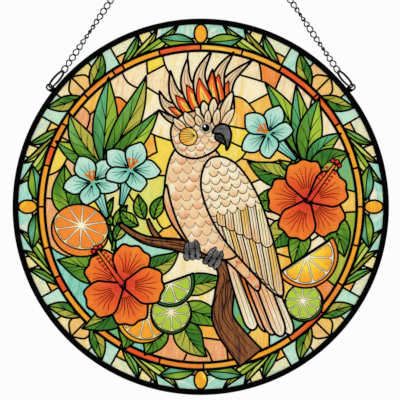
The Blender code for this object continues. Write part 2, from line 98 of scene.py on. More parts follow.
# Radii in shares of the field's radius: the field, the band round it and the opening of the frame
UNDER_FRAME = 0.6
FIELD, BAND, RIM = 100.0, 104.42, OPENING_RADIUS / SHARE + UNDER_FRAME

# Each style of lead bead: width and depth in metres
BEADS = {"ring": (0.00260, 0.0044), "bird": (0.00205, 0.0042), "main": (0.00184, 0.0040),
         "fine": (0.00132, 0.0036)}
PAINT_WIDTH = 0.6

# The grey skin round a citrus segment, in shares, and the order in which petals lie on one another
SKIN = 0.5
PETAL_ORDER = (1, 3, 0, 2, 4)

# A segment's outline, as shares of the radius and of the segment's half angle
CELL = ((0.11, 0.0), (0.42, -0.86), (0.78, -0.95), (0.88, -0.86), (0.92, -0.42), (0.92, 0.42), (0.88, 0.86),
        (0.78, 0.95), (0.42, 0.86))

# The light that the surface of the glass adds to every tone
HAZE = 0.017

# Colours as seen, each part from 0 to 255
TONES = {
    "milk": (250, 239, 208), "cream": (250, 236, 190), "straw": (247, 226, 140), "butter": (249, 218, 96),
    "yellow": (250, 222, 62), "honey": (247, 200, 96), "amber": (250, 176, 52), "gold": (252, 170, 30),
    "orange": (246, 142, 44), "flame": (240, 92, 26), "rust": (244, 90, 22), "red": (214, 24, 18),
    "maroon": (120, 10, 12), "peach": (242, 190, 134), "blush": (244, 204, 158), "shell": (244, 218, 172),
    "salmon": (240, 160, 108), "mint": (196, 228, 182), "pale_aqua": (200, 234, 214),
    "aqua": (156, 222, 200), "teal": (104, 200, 178), "sea": (108, 188, 146), "grass": (128, 192, 104),
    "lime": (180, 210, 62), "sour": (212, 226, 110), "leaf_light": (150, 188, 52), "leaf": (96, 152, 32),
    "leaf_dark": (42, 112, 26), "leaf_teal": (84, 168, 96), "olive": (148, 148, 36),
    "khaki": (190, 184, 72), "bark": (118, 64, 28), "bark_light": (150, 92, 48), "bark_dark": (80, 40, 16),
    "slate": (72, 72, 72), "ash": (128, 128, 126), "coal": (38, 38, 38), "black": (6, 6, 6),
    "white": (255, 255, 255),
}

# The lead lines of the field, as points in shares, with a semicolon between two lines
FIELD_LINES = (
    "-8 101, -8.6 93; -25 101, -23 91, -19 84; -23 91, -36 84; -35 99, -34 82; -52 90, -47 80, -38 75; "
    "-40 80, -25.6 71; -58 70, -52 70, -47 66; -78 66, -71 59, -74 47; -71 59, -62 67; -46 58, -38 52; "
    "-36 50, -30 46, -18 42; -30 46, -29 40, -28 35; -38 29, -28 35, -18 36; -34 20, -18 20; -34 15, -30 "
    "10, -24 4; -48 14, -46 8, -42 2; -28 4, -18 2; -30 -4, -24 -14, -14 -8; -24 -14, -30 -20; -96 46, "
    "-88 44, -82 40; -84 34, -90 24, -98 20; -86 30, -78 26, -66 32; -102 6, -88 4; -84 8, -72 12; -66 4, "
    "-60 -8; -44 -6, -48 -16, -52 -22; -50 -16, -40 -22, -30 -30; -98 -24, -90 -30, -78 -34; -90 -52, -84 "
    "-56, -74 -52; -84 -56, -76 -66; -60 -82, -56 -72; -44 -92, -48 -84, -40 -80; -10 -28, -4 -34, -8 "
    "-42, -20 -47; 4 -36, 2 -46, -2 -54; -2 -70, 6 -66, 16 -68; -14 -80, -4 -78, 6 -78; -12 -101, -8 -92, "
    "-4 -84, 16 -86; -4 -84, 4 -92, 8 -101; 16 -86, 18 -101; 16 87, 34 82, 46 78; 34 101, 38 90, 39 78; "
    "54 90, 48 76, 46 70; 2 68, 20 71, 31 66, 43 47; 31 66, 50 76; 12 53, 43 47; 16 43, 30 37, 36 40; 30 "
    "37, 26 31, 18 26; 26 31, 40 28, 52 30; 30 14, 40 18, 48 16; 56 36, 62 42, 68 40; 50 20, 52 12, 46 8; "
    "72 72, 70 60, 76 50; 82 56, 88 50, 96 42; 80 40, 88 36, 98 36; 90 12, 101 9; 88 -4, 101 -3; 40 -6, "
    "50 -10; 34 4, 40 8, 52 8; 44 -28, 52 -31, 62 -34; 56 -42, 50 -50; 64 -20, 70 -22, 76 -18; 88 -36, 96 "
    "-40; 80 -46, 90 -54; 54 -66, 50 -56, 54 -48; 56 -78, 64 -80, 74 -70; 44 -78, 44 -92; 22 -66, 28 -70, "
    "32 -72; 26 -50, 22 -56, 18 -60; 34 -76, 30 -82, 24 -86")

# The tones of the field's panes, each with the points in shares where it is used
FIELD_TONES = {
    "straw milk cream": "-15 90, -35 66, 30 78, 38 11, 74 -20, -13 -39",
    "cream milk butter": "-26 51, -28 14, 82 54, 9 -47, 84 62",
    "butter yellow straw": "-29 89, 26 46, 20 35, -62 12",
    "yellow butter yellow": "-43 86, -25 40, -91 30, 53 28, -23 -7",
    "blush cream peach": "-29 83, -50 76, 55 76, 34 88, 89 40, 40 -5",
    "orange orange salmon": "-53 64, 46 84, 80 -55, 23 -94, 63 37",
    "honey amber straw": "-36 40, -27 27, 28 61, -14 -14, 50 -24, 6 -76, -64 72",
    "amber honey butter": "39 66, 38 32, 52 -36, -67 70, 38 -82, 98 4",
    "peach salmon honey": "-77 56, -70 52, 59 43, -19 -97, 7 -94, -82 22, -92 -2",
    "blush peach honey": "-90 44, -84 24, 36 -7",
    "sour straw mint": "-46 6, -42 -14, 86 -42, 0 -42, 48 18",
    "butter sour straw": "0 -42, -34 4",
    "mint aqua pale_aqua": "-38 -18, 26 -62, 48 -88, -34 -36",
    "sea aqua teal": "96 -9, -80 -52, -44 -92, -76 -56, -30 -92",
    "grass sea leaf_light": "-92 -32, -62 -78, 62 -78, 94 18, 27 -72",
    "lime khaki leaf_light": "93 -36, 88 -46",
}

Figure = namedtuple("Figure", "piece outline tones kind base axis lead parent cuts")
figures = []


# Outlines in the plane of the picture, in shares

def polar(radius, degrees, centre=(0.0, 0.0)):
    """A point at a radius and an angle about a centre."""
    turn = math.radians(degrees)
    return (centre[0] + radius * math.cos(turn), centre[1] + radius * math.sin(turn))


def arc(radius, start, end, steps, centre=(0.0, 0.0)):
    """Points along an arc from one angle to another, both ends included."""
    return [polar(radius, start + (end - start) * i / steps, centre) for i in range(steps + 1)]


def circle(radius, sides, centre=(0.0, 0.0)):
    """A closed circle."""
    return arc(radius, 0.0, 360.0, sides, centre)[:-1]


def oval(centre, half_length, half_width, tilt, sides=36):
    """A closed ellipse whose long axis is tilted from the horizontal."""
    spin = Matrix.Rotation(math.radians(tilt), 2)
    return [tuple(Vector(centre) + spin @ Vector((half_length * math.cos(math.tau * i / sides),
                                                  half_width * math.sin(math.tau * i / sides))))
            for i in range(sides)]


def curve(points, steps=6, closed=False):
    """Points on a smooth curve through the given ones."""
    count = len(points)
    found = []
    for i in range(count if closed else count - 1):
        near = [(i + k) % count if closed else min(max(i + k, 0), count - 1) for k in (-1, 0, 1, 2)]
        a, b, c, d = (Vector(points[k]) for k in near)
        for k in range(steps):
            t = k / steps
            found.append(tuple(0.5 * (2 * b + (c - a) * t + (2 * a - 5 * b + 4 * c - d) * t ** 2
                                      + (3 * b - a - 3 * c + d) * t ** 3)))
    return found if closed else found + [tuple(points[-1])]


def points_of(text):
    """Points from their coordinates in a text, with a comma between two points."""
    return [tuple(float(value) for value in pair.split()) for pair in text.split(",")]


def part_way(start, end, share):
    """The point at a share of the way from one point to another."""
    return tuple(Vector(start).lerp(Vector(end), share))


def away_from(start, end):
    """The step from one point to another."""
    return tuple(Vector(end) - Vector(start))


def sides_of(path, widths):
    """The right and left sides of a band along an open path, with its own width at each point."""
    right, left = [], []
    for i, (point, width) in enumerate(zip(path, widths)):
        along = (Vector(path[min(i + 1, len(path) - 1)]) - Vector(path[max(i - 1, 0)])).normalized()
        across = Vector((-along.y, along.x)) * width / 2
        right.append(tuple(Vector(point) - across))
        left.append(tuple(Vector(point) + across))
    return right, left


def band(path, widths):
    """A closed outline along an open path."""
    right, left = sides_of(path, widths)
    return right + left[::-1]


def rib(base, tip, bend, steps=12, ease=1.0):
    """The midrib from base to tip, bent to its left, with closer points near the tip for a higher ease."""
    start, end = Vector(base), Vector(tip)
    across = Vector((start.y - end.y, end.x - start.x)).normalized()
    shares = [1 - (1 - i / steps) ** ease for i in range(steps + 1)]
    return [tuple(start.lerp(end, t) + across * bend * 4 * t * (1 - t)) for t in shares]


def area(outline):
    """The signed area of a closed outline, positive if it runs anticlockwise."""
    return sum(outline[i - 1][0] * y - x * outline[i - 1][1] for i, (x, y) in enumerate(outline)) / 2


# Figures: each lies over the ones before it, and one with a parent shows only inside that parent

def add(piece, outline, tones, kind="streaky", base=None, axis=None, lead="main", parent=None, cuts=()):
    """Draw a figure in three tones, or in one for all three, and give its number."""
    outline = [tuple(point) for point in outline]
    if area(outline) < 0:
        outline.reverse()
    if base is None:
        base = tuple(sum((Vector(point) for point in outline), Vector((0.0, 0.0))) / len(outline))
    if axis is None:
        axis = polar(10.0, 67.0 * len(figures) + 20)
    tones = tones.split()
    tones = tones * 3 if len(tones) == 1 else tones
    figures.append(Figure(piece, outline, tones, kind, base, axis, lead, parent, list(cuts)))
    return len(figures) - 1


def shape(piece, text, tones, base, axis, lead="bird", kind="along", steps=4):
    """Draw a figure with a smooth outline through the points in a text."""
    return add(piece, curve(points_of(text), steps, True), tones, kind, base, axis, lead)


def paint(parent, path, width=PAINT_WIDTH, end=None):
    """A black painted line on its parent, which may thin out towards its end."""
    end = width if end is None else end
    widths = [width + (end - width) * i / (len(path) - 1) for i in range(len(path))]
    add(figures[parent].piece, band(path, widths), "black", "paint", lead=None, parent=parent)


def leaf(piece, base, tip, width, bend, tones, veins=0, parent=None, skew=0.85, lead="main"):
    """A pointed leaf in two halves, each with its own tones, parted by a finer midrib."""
    steps = 16
    middle = rib(base, tip, bend, steps)
    swells = [width * math.sin(math.pi * (i / steps) ** skew) for i in range(steps + 1)]
    right, left = sides_of(middle, swells)
    axis = away_from(base, tip)
    whole = add(piece, right[:-1] + left[:0:-1], tones[0], "along", base, axis, lead, parent)
    for side, pair in ((right, tones[0]), (left, tones[1])):
        half = add(piece, side[1:-1] + middle[::-1], pair, "along", base, axis, "fine", whole)
        for number in range(veins):
            start = int(steps * (0.16 + 0.56 * number / veins))
            vein = [part_way(middle[start + k], side[start + k], out)
                    for k, out in ((0, 0.0), (2, 0.28), (4, 0.84))]
            paint(half, curve(vein, 3), PAINT_WIDTH, PAINT_WIDTH * 0.5)


def draw_border():
    """A garland on pale panes, the same in each eighth of the border but for its tones."""
    def put(outline, tones, ground=None):
        return add("border_glass", outline, tones, parent=ground)

    for eighth in range(8):
        quarter, hand = eighth // 2, 1 - 2 * (eighth % 2)

        def at(angle, radius):
            return polar(radius, 90.0 * quarter + 90 + hand * angle)

        low = eighth in (2, 3, 4, 5)
        inside = BAND - 1
        wedge = [at(3 * i, RIM) for i in range(16)] + [at(45 - 3 * i, inside) for i in range(15)]
        ground = put([at(0, inside)] + wedge, "cream straw milk")
        for start, end, inner, outer, tones in (
                (0, 16, 108, RIM, "pale_aqua aqua milk"),
                (8, 30, inside, 111, "honey amber straw" if low else "peach honey orange"),
                (20, 29.6, 110, RIM, "mint cream pale_aqua"),
                (29.6, 38, inside, RIM, "aqua pale_aqua mint"),
                (38, 45, inside, RIM, "straw cream butter" if low else "honey straw peach")):
            put([at(start + (end - start) * i / 8, outer) for i in range(9)]
                + [at(end + (start - end) * i / 8, inner) for i in range(9)], tones, ground)
        put(curve([at(45, RIM), at(41.2, 112), at(41.6, inside)], 5) + [at(45, inside)],
            "peach honey blush", ground)
        for base, tip, width, bend, tones, veins in (
                ((28.8, BAND), (19.8, RIM + 0.5), 5.4, -1.6,
                 ("leaf_light leaf leaf", "leaf grass leaf_dark"), 0),
                ((25.8, BAND), (13.6, RIM + 0.5), 5.6, -2.4, ("khaki olive khaki", "khaki sour khaki"), 0),
                ((23.2, BAND + 0.6), (6.8, RIM + 0.5), 6.2, -2.4,
                 ("leaf_light sour leaf_light", "leaf leaf_light lime"), 0),
                ((2.2, 105.8), (14.0, 111.6), 9.0, 0.8,
                 ("leaf_dark sea leaf_dark", "leaf leaf_light leaf_dark"), 0),
                ((42.6, BAND), (32.8, RIM), 9.4, -1.4, ("leaf leaf_dark leaf_light", "olive khaki leaf"), 2)):
            leaf("border_glass", at(*base), at(*tip), width, bend * hand, tones, veins, ground)
    for angle in (0.0, 90.0, 180.0, 270.0):
        put(oval(polar(110.9, angle), 6.0, 4.2, angle), "amber gold yellow")


def draw_band():
    """The band round the field, in segments of orange and amber."""
    joints = [0, 14, 31, 44, 60, 75, 90, 105, 119, 123, 136, 149, 158, 165, 180, 195, 206, 212, 226, 240,
              255, 271, 288, 304, 319, 331, 346, 360]
    colours = ("amber gold rust rust amber amber rust gold rust orange gold orange rust gold gold orange "
               "rust gold orange rust orange amber gold rust orange gold gold").split()
    lighter = {"rust": "orange", "orange": "amber", "gold": "amber", "amber": "butter"}
    rim = add("band_glass", circle(BAND, 144), "gold amber orange", lead="ring")
    for start, end, tone in zip(joints, joints[1:], colours):
        steps = max(3, int((end - start) / 2.5))
        outline = arc(BAND + 1, start, end, steps) + arc(FIELD - 1, end, start, steps)
        add("band_glass", outline, f"{tone} {tone} {lighter[tone]}", "streaky", polar(102, start),
            polar(20, start + 90), "main", rim)


def draw_field():
    """The pale field, cut into panes by arcs and short lines."""
    add("field_glass", circle(FIELD, 144), "cream milk straw", lead="ring",
        cuts=[curve(points_of(path), 4) for path in FIELD_LINES.split(";")])


def draw_leaves():
    """The fans of long leaves, the broad leaves and the small ones on stems."""
    dark = ("leaf leaf_light leaf_light", "leaf_dark leaf_teal sea")
    olive = ("olive khaki khaki", "leaf_dark leaf grass")
    light = ("leaf lime leaf_light", "leaf_dark leaf leaf_teal")
    deep = ("leaf_dark leaf leaf_light", "leaf_light leaf leaf_dark")
    fresh = ("leaf_light khaki leaf", "leaf leaf_dark leaf")
    for root, fan in (
            ((-63, 27), ((-93, 42, 13, 1, light), (-84, 60, 15, 3, olive), (-59, 83, 16, 0, dark),
                         (-35, 84, 15, -3, olive), (-27, 62, 13, -3, light))),
            ((68, 26), ((41, 80, 15, -3, light), (61, 78, 13, 0, dark), (76, 70, 16, 2, light),
                        (90, 47, 12, 2, dark)))):
        for x, y, width, bend, tones in fan:
            leaf("long_leaves", root, (x, y), width, bend, tones, 3)
    for base, tip, width, bend, tones in (
            ((-82, -6), (-87, 27), 19, 2, deep), ((-58, -44), (-92, -34), 18, 0, deep),
            ((-44, -60), (-76, -78), 18, 2, fresh), ((-46, -70), (-50, -92), 14, 2, deep),
            ((-28, -74), (-36, -95), 17, 2, deep), ((-12, -72), (4, -96), 18, -3, fresh),
            ((-14, -66), (16, -78), 15, 3, deep), ((-14, -52), (16, -46), 14, 0, fresh),
            ((-38, -40), (-14, -28), 13, -3, fresh), ((60, 18), (30, 29), 15, 2, fresh),
            ((52, 4), (34, 4), 15, 0, deep),
            ((74, 18), (95, 34), 18, 4, fresh), ((60, -12), (44, -28), 18, -2, fresh),
            ((66, -14), (59, -38), 14, 0, deep), ((80, -6), (92, -32), 18, 2, deep)):
        leaf("broad_leaves", base, tip, width, bend, tones, 4, None, 0.72)
    for path in ("-60 -7, -58 -18, -54 -30", "-50 1, -54 -12, -56 -28", "61 30, 63 24, 66 14"):
        stem = curve(points_of(path), 4)
        add("broad_leaves", band(stem, [2.2] * len(stem)), "leaf leaf_dark leaf", "along", stem[0], (0, -20))
    for base, tip, width, tones in (
            ((-56, -12), (-64, 2), 6, fresh), ((-55, -14), (-47, 1), 7, deep),
            ((-55, -22), (-46, -8), 8, fresh),
            ((-60, -8), (-56, 6), 5, deep), ((62, 24), (50, 30), 6, fresh), ((64, 22), (60, 36), 6, deep)):
        leaf("broad_leaves", base, tip, width, 1, tones, 1)


def cell(piece, wedge, flesh, centre, radius, parent):
    """A segment of flesh with a thin grey skin."""
    skin = add(piece, wedge, "ash slate ash", "streaky", None, None, None, parent)
    middle = sum((Vector(point) for point in wedge), Vector((0.0, 0.0))) / len(wedge)
    inner = []
    for point in wedge:
        away = Vector(point) - middle
        inner.append(tuple(middle + away * (1 - SKIN / away.length)))
    add(piece, inner, flesh, "rayed", centre, (radius * 0.8, 0), None, skin)


def draw_fruit():
    """Cut citrus: each has a rind, a pale pith and flesh in segments."""
    def whole(piece, centre, radius, squash, tilt, rind, flesh, shift, count):
        body = add(piece, oval(Vector(centre) + Vector(shift), radius, radius * max(squash, 0.9), tilt), rind,
                   "rayed", centre, (radius, 0))
        rim = add(piece, oval(centre, radius * 0.96, radius * 0.96 * squash, tilt), "milk cream straw",
                  "rayed", centre, (radius, 0), "fine", body)
        spin = Matrix.Rotation(math.radians(tilt), 2)
        for number in range(count):
            wedge = []
            for reach, spread in CELL:
                point = Vector(polar(radius * reach, 360.0 * number / count + 12 + 180.0 / count * spread))
                wedge.append(tuple(Vector(centre) + spin @ Vector((point.x, point.y * squash))))
            cell(piece, wedge, flesh, centre, radius, rim)

    def half(piece, centre, radius, tilt, rind, flesh, count):
        body = add(piece, arc(radius, tilt - 180, tilt, 24, centre), rind, "rayed", centre, (radius, 0))
        rim = add(piece, arc(radius * 0.86, tilt - 180, tilt, 22, polar(radius * 0.04, tilt - 90, centre)),
                  "milk cream milk", "rayed", centre, (radius, 0), "fine", body)
        step = 180.0 / count
        core = polar(radius * 0.06, tilt - 90, centre)
        for number in range(count):
            middle = tilt - 180 + step * (number + 0.5)
            wedge = [polar(radius * reach * 0.88, middle + step / 2 * spread, core) for reach, spread in CELL]
            cell(piece, wedge, flesh, centre, radius, rim)

    whole("orange_half", (-76.5, -12), 18.5, 0.86, -18, "rust rust orange", "amber orange orange",
          (-0.8, -3.2), 10)
    whole("lemons", (-35.5, -69), 17, 1.0, 10, "orange gold gold", "butter gold gold", (-1.5, -1.5), 10)
    whole("limes", (-19, -67.6), 13, 1.0, 0, "leaf_dark leaf leaf_dark", "sour lime lime", (0, -1.0), 9)
    half("limes", (-20, -48), 16, 20, "leaf leaf_dark leaf_dark", "sour lime lime", 4)
    whole("limes", (65.6, -60.4), 12.2, 1.0, 20, "leaf_dark leaf leaf_dark", "sour lime lime", (0.6, -1.0), 9)
    half("lemons", (67, -31), 21, 33, "gold orange orange", "butter yellow gold", 5)


def petal(centre, radius, angle, half, waves, point=0.0):
    """A petal about a direction, with a gently waved rim, round or with a point."""
    neck, steps = radius * 0.12, 30
    outline = [polar(neck, angle - 60, centre)]
    for i in range(steps + 1):
        spread = -1 + 2 * i / steps
        wave = 1 + 0.028 * math.cos(waves * math.pi * spread + 0.6)
        reach = radius * (1 - 0.40 * abs(spread) ** 3.4) * wave
        reach *= 1 + point * (0.22 - 0.55 * abs(spread) ** 0.8)
        outline.append(polar(reach, angle + half * spread, centre))
    return outline + [polar(neck, angle + 60, centre)]


def draw_trumpet(centre, foot, turn):
    """An aqua trumpet flower seen from the side, with its tube, petals and stamens."""
    away = Vector(foot) - Vector(centre)
    down = math.degrees(math.atan2(foot[1] - centre[1], foot[0] - centre[0]))
    lean = Matrix.Rotation(math.radians(down), 2)
    tube = band([part_way(centre, foot, t) for t in (0.1, 0.4, 0.7, 1.0)], [11, 8, 5, 2.6])
    stalk = add("trumpets", tube, "aqua aqua teal", "along", centre, tuple(away))
    for share in (0.35, 0.65):
        paint(stalk, [part_way(a, b, share) for a, b in zip(tube[:4], tube[:3:-1])], 0.5, 0.3)

    def tilted(points):
        """The points squeezed along the tube, as a flower seen from the side."""
        return [tuple(Vector(centre) + lean @ Vector((near.x * (0.72 if near.x > 0 else 0.95), near.y)))
                for near in (lean.transposed() @ (Vector(point) - Vector(centre)) for point in points)]

    for number in PETAL_ORDER:
        angle = down + 36 + turn + 72 * number
        part = add("trumpets", tilted(petal(centre, 17.6, angle, 41, 2, 0.42)), "teal aqua pale_aqua",
                   "rayed", centre, (15.5, 0))
        for spread in (-16, -2, 14):
            line = [polar(reach, angle + spread * share, centre)
                    for reach, share in ((3, 0.3), (8, 0.7), (13.0, 1))]
            paint(part, tilted(curve(line, 3)), PAINT_WIDTH, 0.2)
    add("trumpets", circle(2.2, 12, centre), "khaki teal teal", "rayed", centre, (3, 0), None)
    for spread in (-24, 0, 24):
        tip = polar(6.5, down + 180 + spread, centre)
        stamen = add("trumpets", band([centre, tip], [1.0, 1.3]), "orange orange amber", lead=None)
        add("trumpets", circle(1.1, 8, tip), "rust orange rust", lead=None)
        paint(stamen, [centre, tip], 0.25)


def draw_blossom(centre, turn, tip):
    """A large orange blossom with veined petals, and a long pistil with stamens beside it."""
    add("blossoms", circle(4.5, 16, centre), "maroon maroon red", lead="fine")
    for number in PETAL_ORDER:
        angle = turn + 72 * number
        part = add("blossoms", petal(centre, 26.0, angle, 43, 4), "red flame orange", "rayed", centre,
                   (27, 0), "bird")
        for spread in (-27, -16, -5, 6, 17, 28):
            line = [polar(reach, angle + spread * share, centre)
                    for reach, share in ((8, 0.62), (15, 0.72), (22.5 - 0.12 * abs(spread), 1))]
            paint(part, curve(line, 4), 0.55, 0.3)
    start, end = Vector(centre), Vector(tip)
    along = (end - start).normalized()
    across = Vector((-along.y, along.x))
    for reach in (0.50, 0.60, 0.70, 0.80):
        for hand in (-1, 1):
            root = start.lerp(end, reach)
            dot = tuple(root + across * hand * 3.2 + along * 1.2)
            add("blossoms", band([tuple(root), dot], [0.5, 0.5]), "black", "paint", lead=None)
            add("blossoms", circle(1.0, 8, dot), "maroon red maroon", lead=None)
    add("blossoms", band([centre, part_way(centre, tip, 0.5), tip], [3.6, 2.6, 2.0]), "red rust orange",
        "along", centre, tuple(end - start), "fine")
    for hand in (-1, 0, 1):
        dot = tuple(end + across * hand * 2.6 + along * (2.2 - abs(hand)))
        add("blossoms", circle(1.5, 10, dot), "red red rust", lead="fine")


def draw_flowers():
    """Three aqua trumpets and two large orange blossoms."""
    for centre, foot, turn in (((-69, 16), (-60, -7), 8), ((-45, 24), (-51, 1), -6), ((43, 47), (61, 30), 4)):
        draw_trumpet(centre, foot, turn)
    draw_blossom((-50, -50), 70, (-66, -28))
    draw_blossom((69, 4), 100, (86, 27))


def draw_branch():
    """The brown branch with its twig, and grain that follows it."""
    outer = ("leaf leaf_light leaf", "leaf_dark leaf leaf_dark")
    inner = ("leaf_dark leaf leaf_dark", "leaf_light leaf khaki")
    for base, tip, tones in (((-40, -12), (-52, -2), outer), ((-36, -8), (-40, 8), inner),
                             ((-30, -8), (-24, 7), outer)):
        leaf("broad_leaves", base, tip, 8.5, 1, tones, 3)
    twig = curve(points_of("-26 -22, -31 -15, -34 -8"), 4)
    add("branch", band(twig, [4.4 - 2.6 * i / (len(twig) - 1) for i in range(len(twig))]),
        "bark bark_light bark", "along", (-26, -22), (-8, 14))
    path = curve(points_of("-52 -11, -36 -21, -12 -25, 8 -31, 17 -42, 15 -57, 15 -74, 32 -97"), 6)
    keys = [2.4, 5, 8, 9, 12, 12, 14, 18]
    widths = [a + (b - a) * i / 6 for a, b in zip(keys, keys[1:]) for i in range(6)] + [18]
    limb = add("branch", band(path, widths), "bark bark_light bark_dark", "streaky", (14, -50), (2, -30),
               "bird")
    right, left = sides_of(path, widths)
    for share, start, end in ((0.2, 4, 22), (0.42, 10, 34), (0.64, 6, 40), (0.8, 18, 42), (0.3, 24, 42),
                              (0.55, 26, 42), (0.9, 2, 16), (0.12, 30, 42)):
        paint(limb, [part_way(right[i], left[i], share + 0.05 * math.sin(i * 0.9 + share * 9))
                     for i in range(start, end)], 0.72, 0.42)


def blade(path, widths):
    """A closed outline along a path that ends in a point at its tip."""
    right, left = sides_of(path, widths)
    return right[:-1] + [tuple(path[-1])] + left[-2::-1]


def feather(base, tip, width, tones, piece, parent=None, lead="fine", bend=0.0, lines=(0.0,)):
    """A long feather with a blunt tip and painted lines along it."""
    steps = 16
    middle = rib(base, tip, bend, steps, 1.8)
    widths = []
    for i in range(steps + 1):
        t = 1 - (1 - i / steps) ** 1.8
        rise = 0.6 + 0.4 * math.sin(math.pi / 2 * min(1.0, t / 0.6))
        widths.append(width * (rise * math.sqrt(1 - max(0.0, (t - 0.86) / 0.14) ** 2)))
    number = add(piece, blade(middle, widths), tones, "along", base, away_from(base, tip), lead, parent)
    right, left = sides_of(middle, widths)
    for shift in lines:
        paint(number, [part_way(right[i], left[i], 0.5 + shift) for i in range(3, steps - 2)], 0.45, 0.25)


def scale_rows(parent, start, end, rows, breadths, size, tones, bow=0.0, line=0.6):
    """Rows of short round feathers with painted rims, each row over the one below it."""
    start, end = Vector(start), Vector(end)
    down = (end - start).normalized()
    across = Vector((-down.y, down.x))
    half, length = across * (size * 1.06) / 2, size * 0.72
    for row in reversed(range(rows)):
        share = row / max(rows - 1, 1)
        breadth = breadths[0] + (breadths[1] - breadths[0]) * share
        count = max(2, round(breadth / size))
        for number in range(count + 1):
            offset = (number - count / 2 + (0.5 if row % 2 else 0.0)) * size
            centre = start.lerp(end, share) + across * offset - down * bow * (2 * offset / breadth) ** 2
            turns = [math.pi * (0.06 + 0.88 * i / 10) for i in range(11)]
            rim = [tuple(centre + half * math.cos(turn) + down * length * math.sin(turn)) for turn in turns]
            top = [tuple(centre + side - down * length * 1.3) for side in (-half, half)]
            one = add(figures[parent].piece, rim + top, tones[(row + number) % len(tones)], "along",
                      tuple(centre - down * length * 0.6), tuple(down * length * 1.6), None, parent)
            paint(one, rim, line)


def draw_body():
    """The bird's tail, breast and wing."""
    for base, tip, width, tones in (
            ((16, -24), (34, -79), 9, "salmon shell milk"), ((20, -22), (42, -80), 7, "rust orange blush"),
            ((24, -24), (47, -82), 9, "orange salmon blush"), ((34, -26), (58, -82), 8, "salmon shell milk"),
            ((30, -24), (52, -83), 9, "blush peach milk")):
        feather(base, tip, width, tones, "bird_tail", None, "bird", 0.0, (-0.16, 0.14))
    coverts = shape("bird_tail", "10 -20, 20 -28, 31 -32, 38 -48, 36 -54, 28 -46, 20 -38, 12 -30",
                    "peach salmon blush", (12, -22), (24, -30))
    scale_rows(coverts, (16, -26), (34, -50), 4, (14, 8), 6, ("salmon peach rust", "peach blush salmon"))
    breast = shape("bird_breast", "-15 38, -23 16, -20 -6, -8 -24, 14 -34, 26 -26, 24 4, 8 38",
                   "shell blush peach", (-8, 30), (0, -50), steps=6)
    scale_rows(breast, (-6, 32), (2, -26), 11, (26, 34), 6.6,
               ("shell shell peach", "milk blush salmon", "shell blush blush"), 2)
    shape("bird_breast", "-22 14, -24 4, -19 -10, -10 -22, -6 -26, -14 -12, -19 2", "blush salmon peach",
          (-20, 12), (12, -34))
    wing = shape("bird_wing", "6 31, 0 14, 8 -10, 24 -32, 51 -58, 50 -36, 38 4, 22 28", "shell blush cream",
                 (10, 20), (38, -70), steps=6)
    quills = ("shell milk peach", "straw cream shell", "peach honey blush")
    for count, roots, tips, ease, width, bend, shift in (
            (9, ((6, 4), (40, 2)), ((16, -24), (51.5, -57)), 0.8, 8.2, 1.5, 0),
            (7, ((6, 10), (36, 10)), ((9, -10), (43, -26)), 1, 8.4, 1.0, 1)):
        for number in range(count):
            t = number / (count - 1)
            feather(part_way(*roots, t), part_way(*tips, t ** ease), width, quills[(number + shift) % 3],
                    "bird_wing", wing, "fine", bend, (-0.26, -0.05, 0.18))
    scale_rows(wing, (13, 29), (20, 0), 7, (16, 40), 6.2,
               ("shell milk blush", "milk shell peach", "milk milk blush"), 2, 0.95)


def draw_crest():
    """The bird's crest: swept feathers, each with a flame in two tones."""
    for path, width, short in (
            ("13 60, 14.5 71, 19.5 82.5, 33 94", 9.5, False), ("12 60, 10.5 74, 12.5 87, 21 99", 9.5, False),
            ("9 60, 7 74, 7.5 88", 8.5, True), ("2 58, -7 57, -18 56, -27 62", 7.5, False),
            ("2 58, -11 60, -22 65, -26.5 74", 9, False), ("3 58, -9 64, -17 73.5, -19.5 87", 10, False),
            ("5 58, -3.5 68, -9.5 80.5, -8.5 95", 10.5, False), ("8 58, 1.5 71, -0.5 85, 7 100", 10, False)):
        keys = points_of(path)
        middle = curve(keys, 18 // (len(keys) - 1))
        steps = len(middle) - 1
        axis = away_from(middle[0], middle[-1])
        swells = [width * math.sin(math.pi * (0.3 + 0.7 * i / steps)) ** 1.1 for i in range(steps)] + [0.0]
        whole = add("bird_crest", blade(middle, swells), "peach blush shell", "along", middle[0], axis,
                    "bird")
        right, left = sides_of(middle, swells)
        for share in (0.3, 0.62):
            paint(whole, [part_way(a, b, share) for a, b in zip(right[6:-3], left[6:-3])], 0.42, 0.3)
        for reach, ease, tones, lead in ((0.95 if short else 0.62, 0.9, "rust rust flame", "fine"),
                                         (0.8 if short else 0.52, 0.5, "amber butter orange", None)):
            last = int(steps * reach)
            swells = [width * ease * 1.3 * (1 - (i / last) ** 2.2) for i in range(last)] + [0.0]
            flame = add("bird_crest", blade(middle[:last + 1], swells), tones, "along", middle[0], axis,
                        lead, whole)
        paint(flame, middle[4:last - 1], 0.4, 0.2)


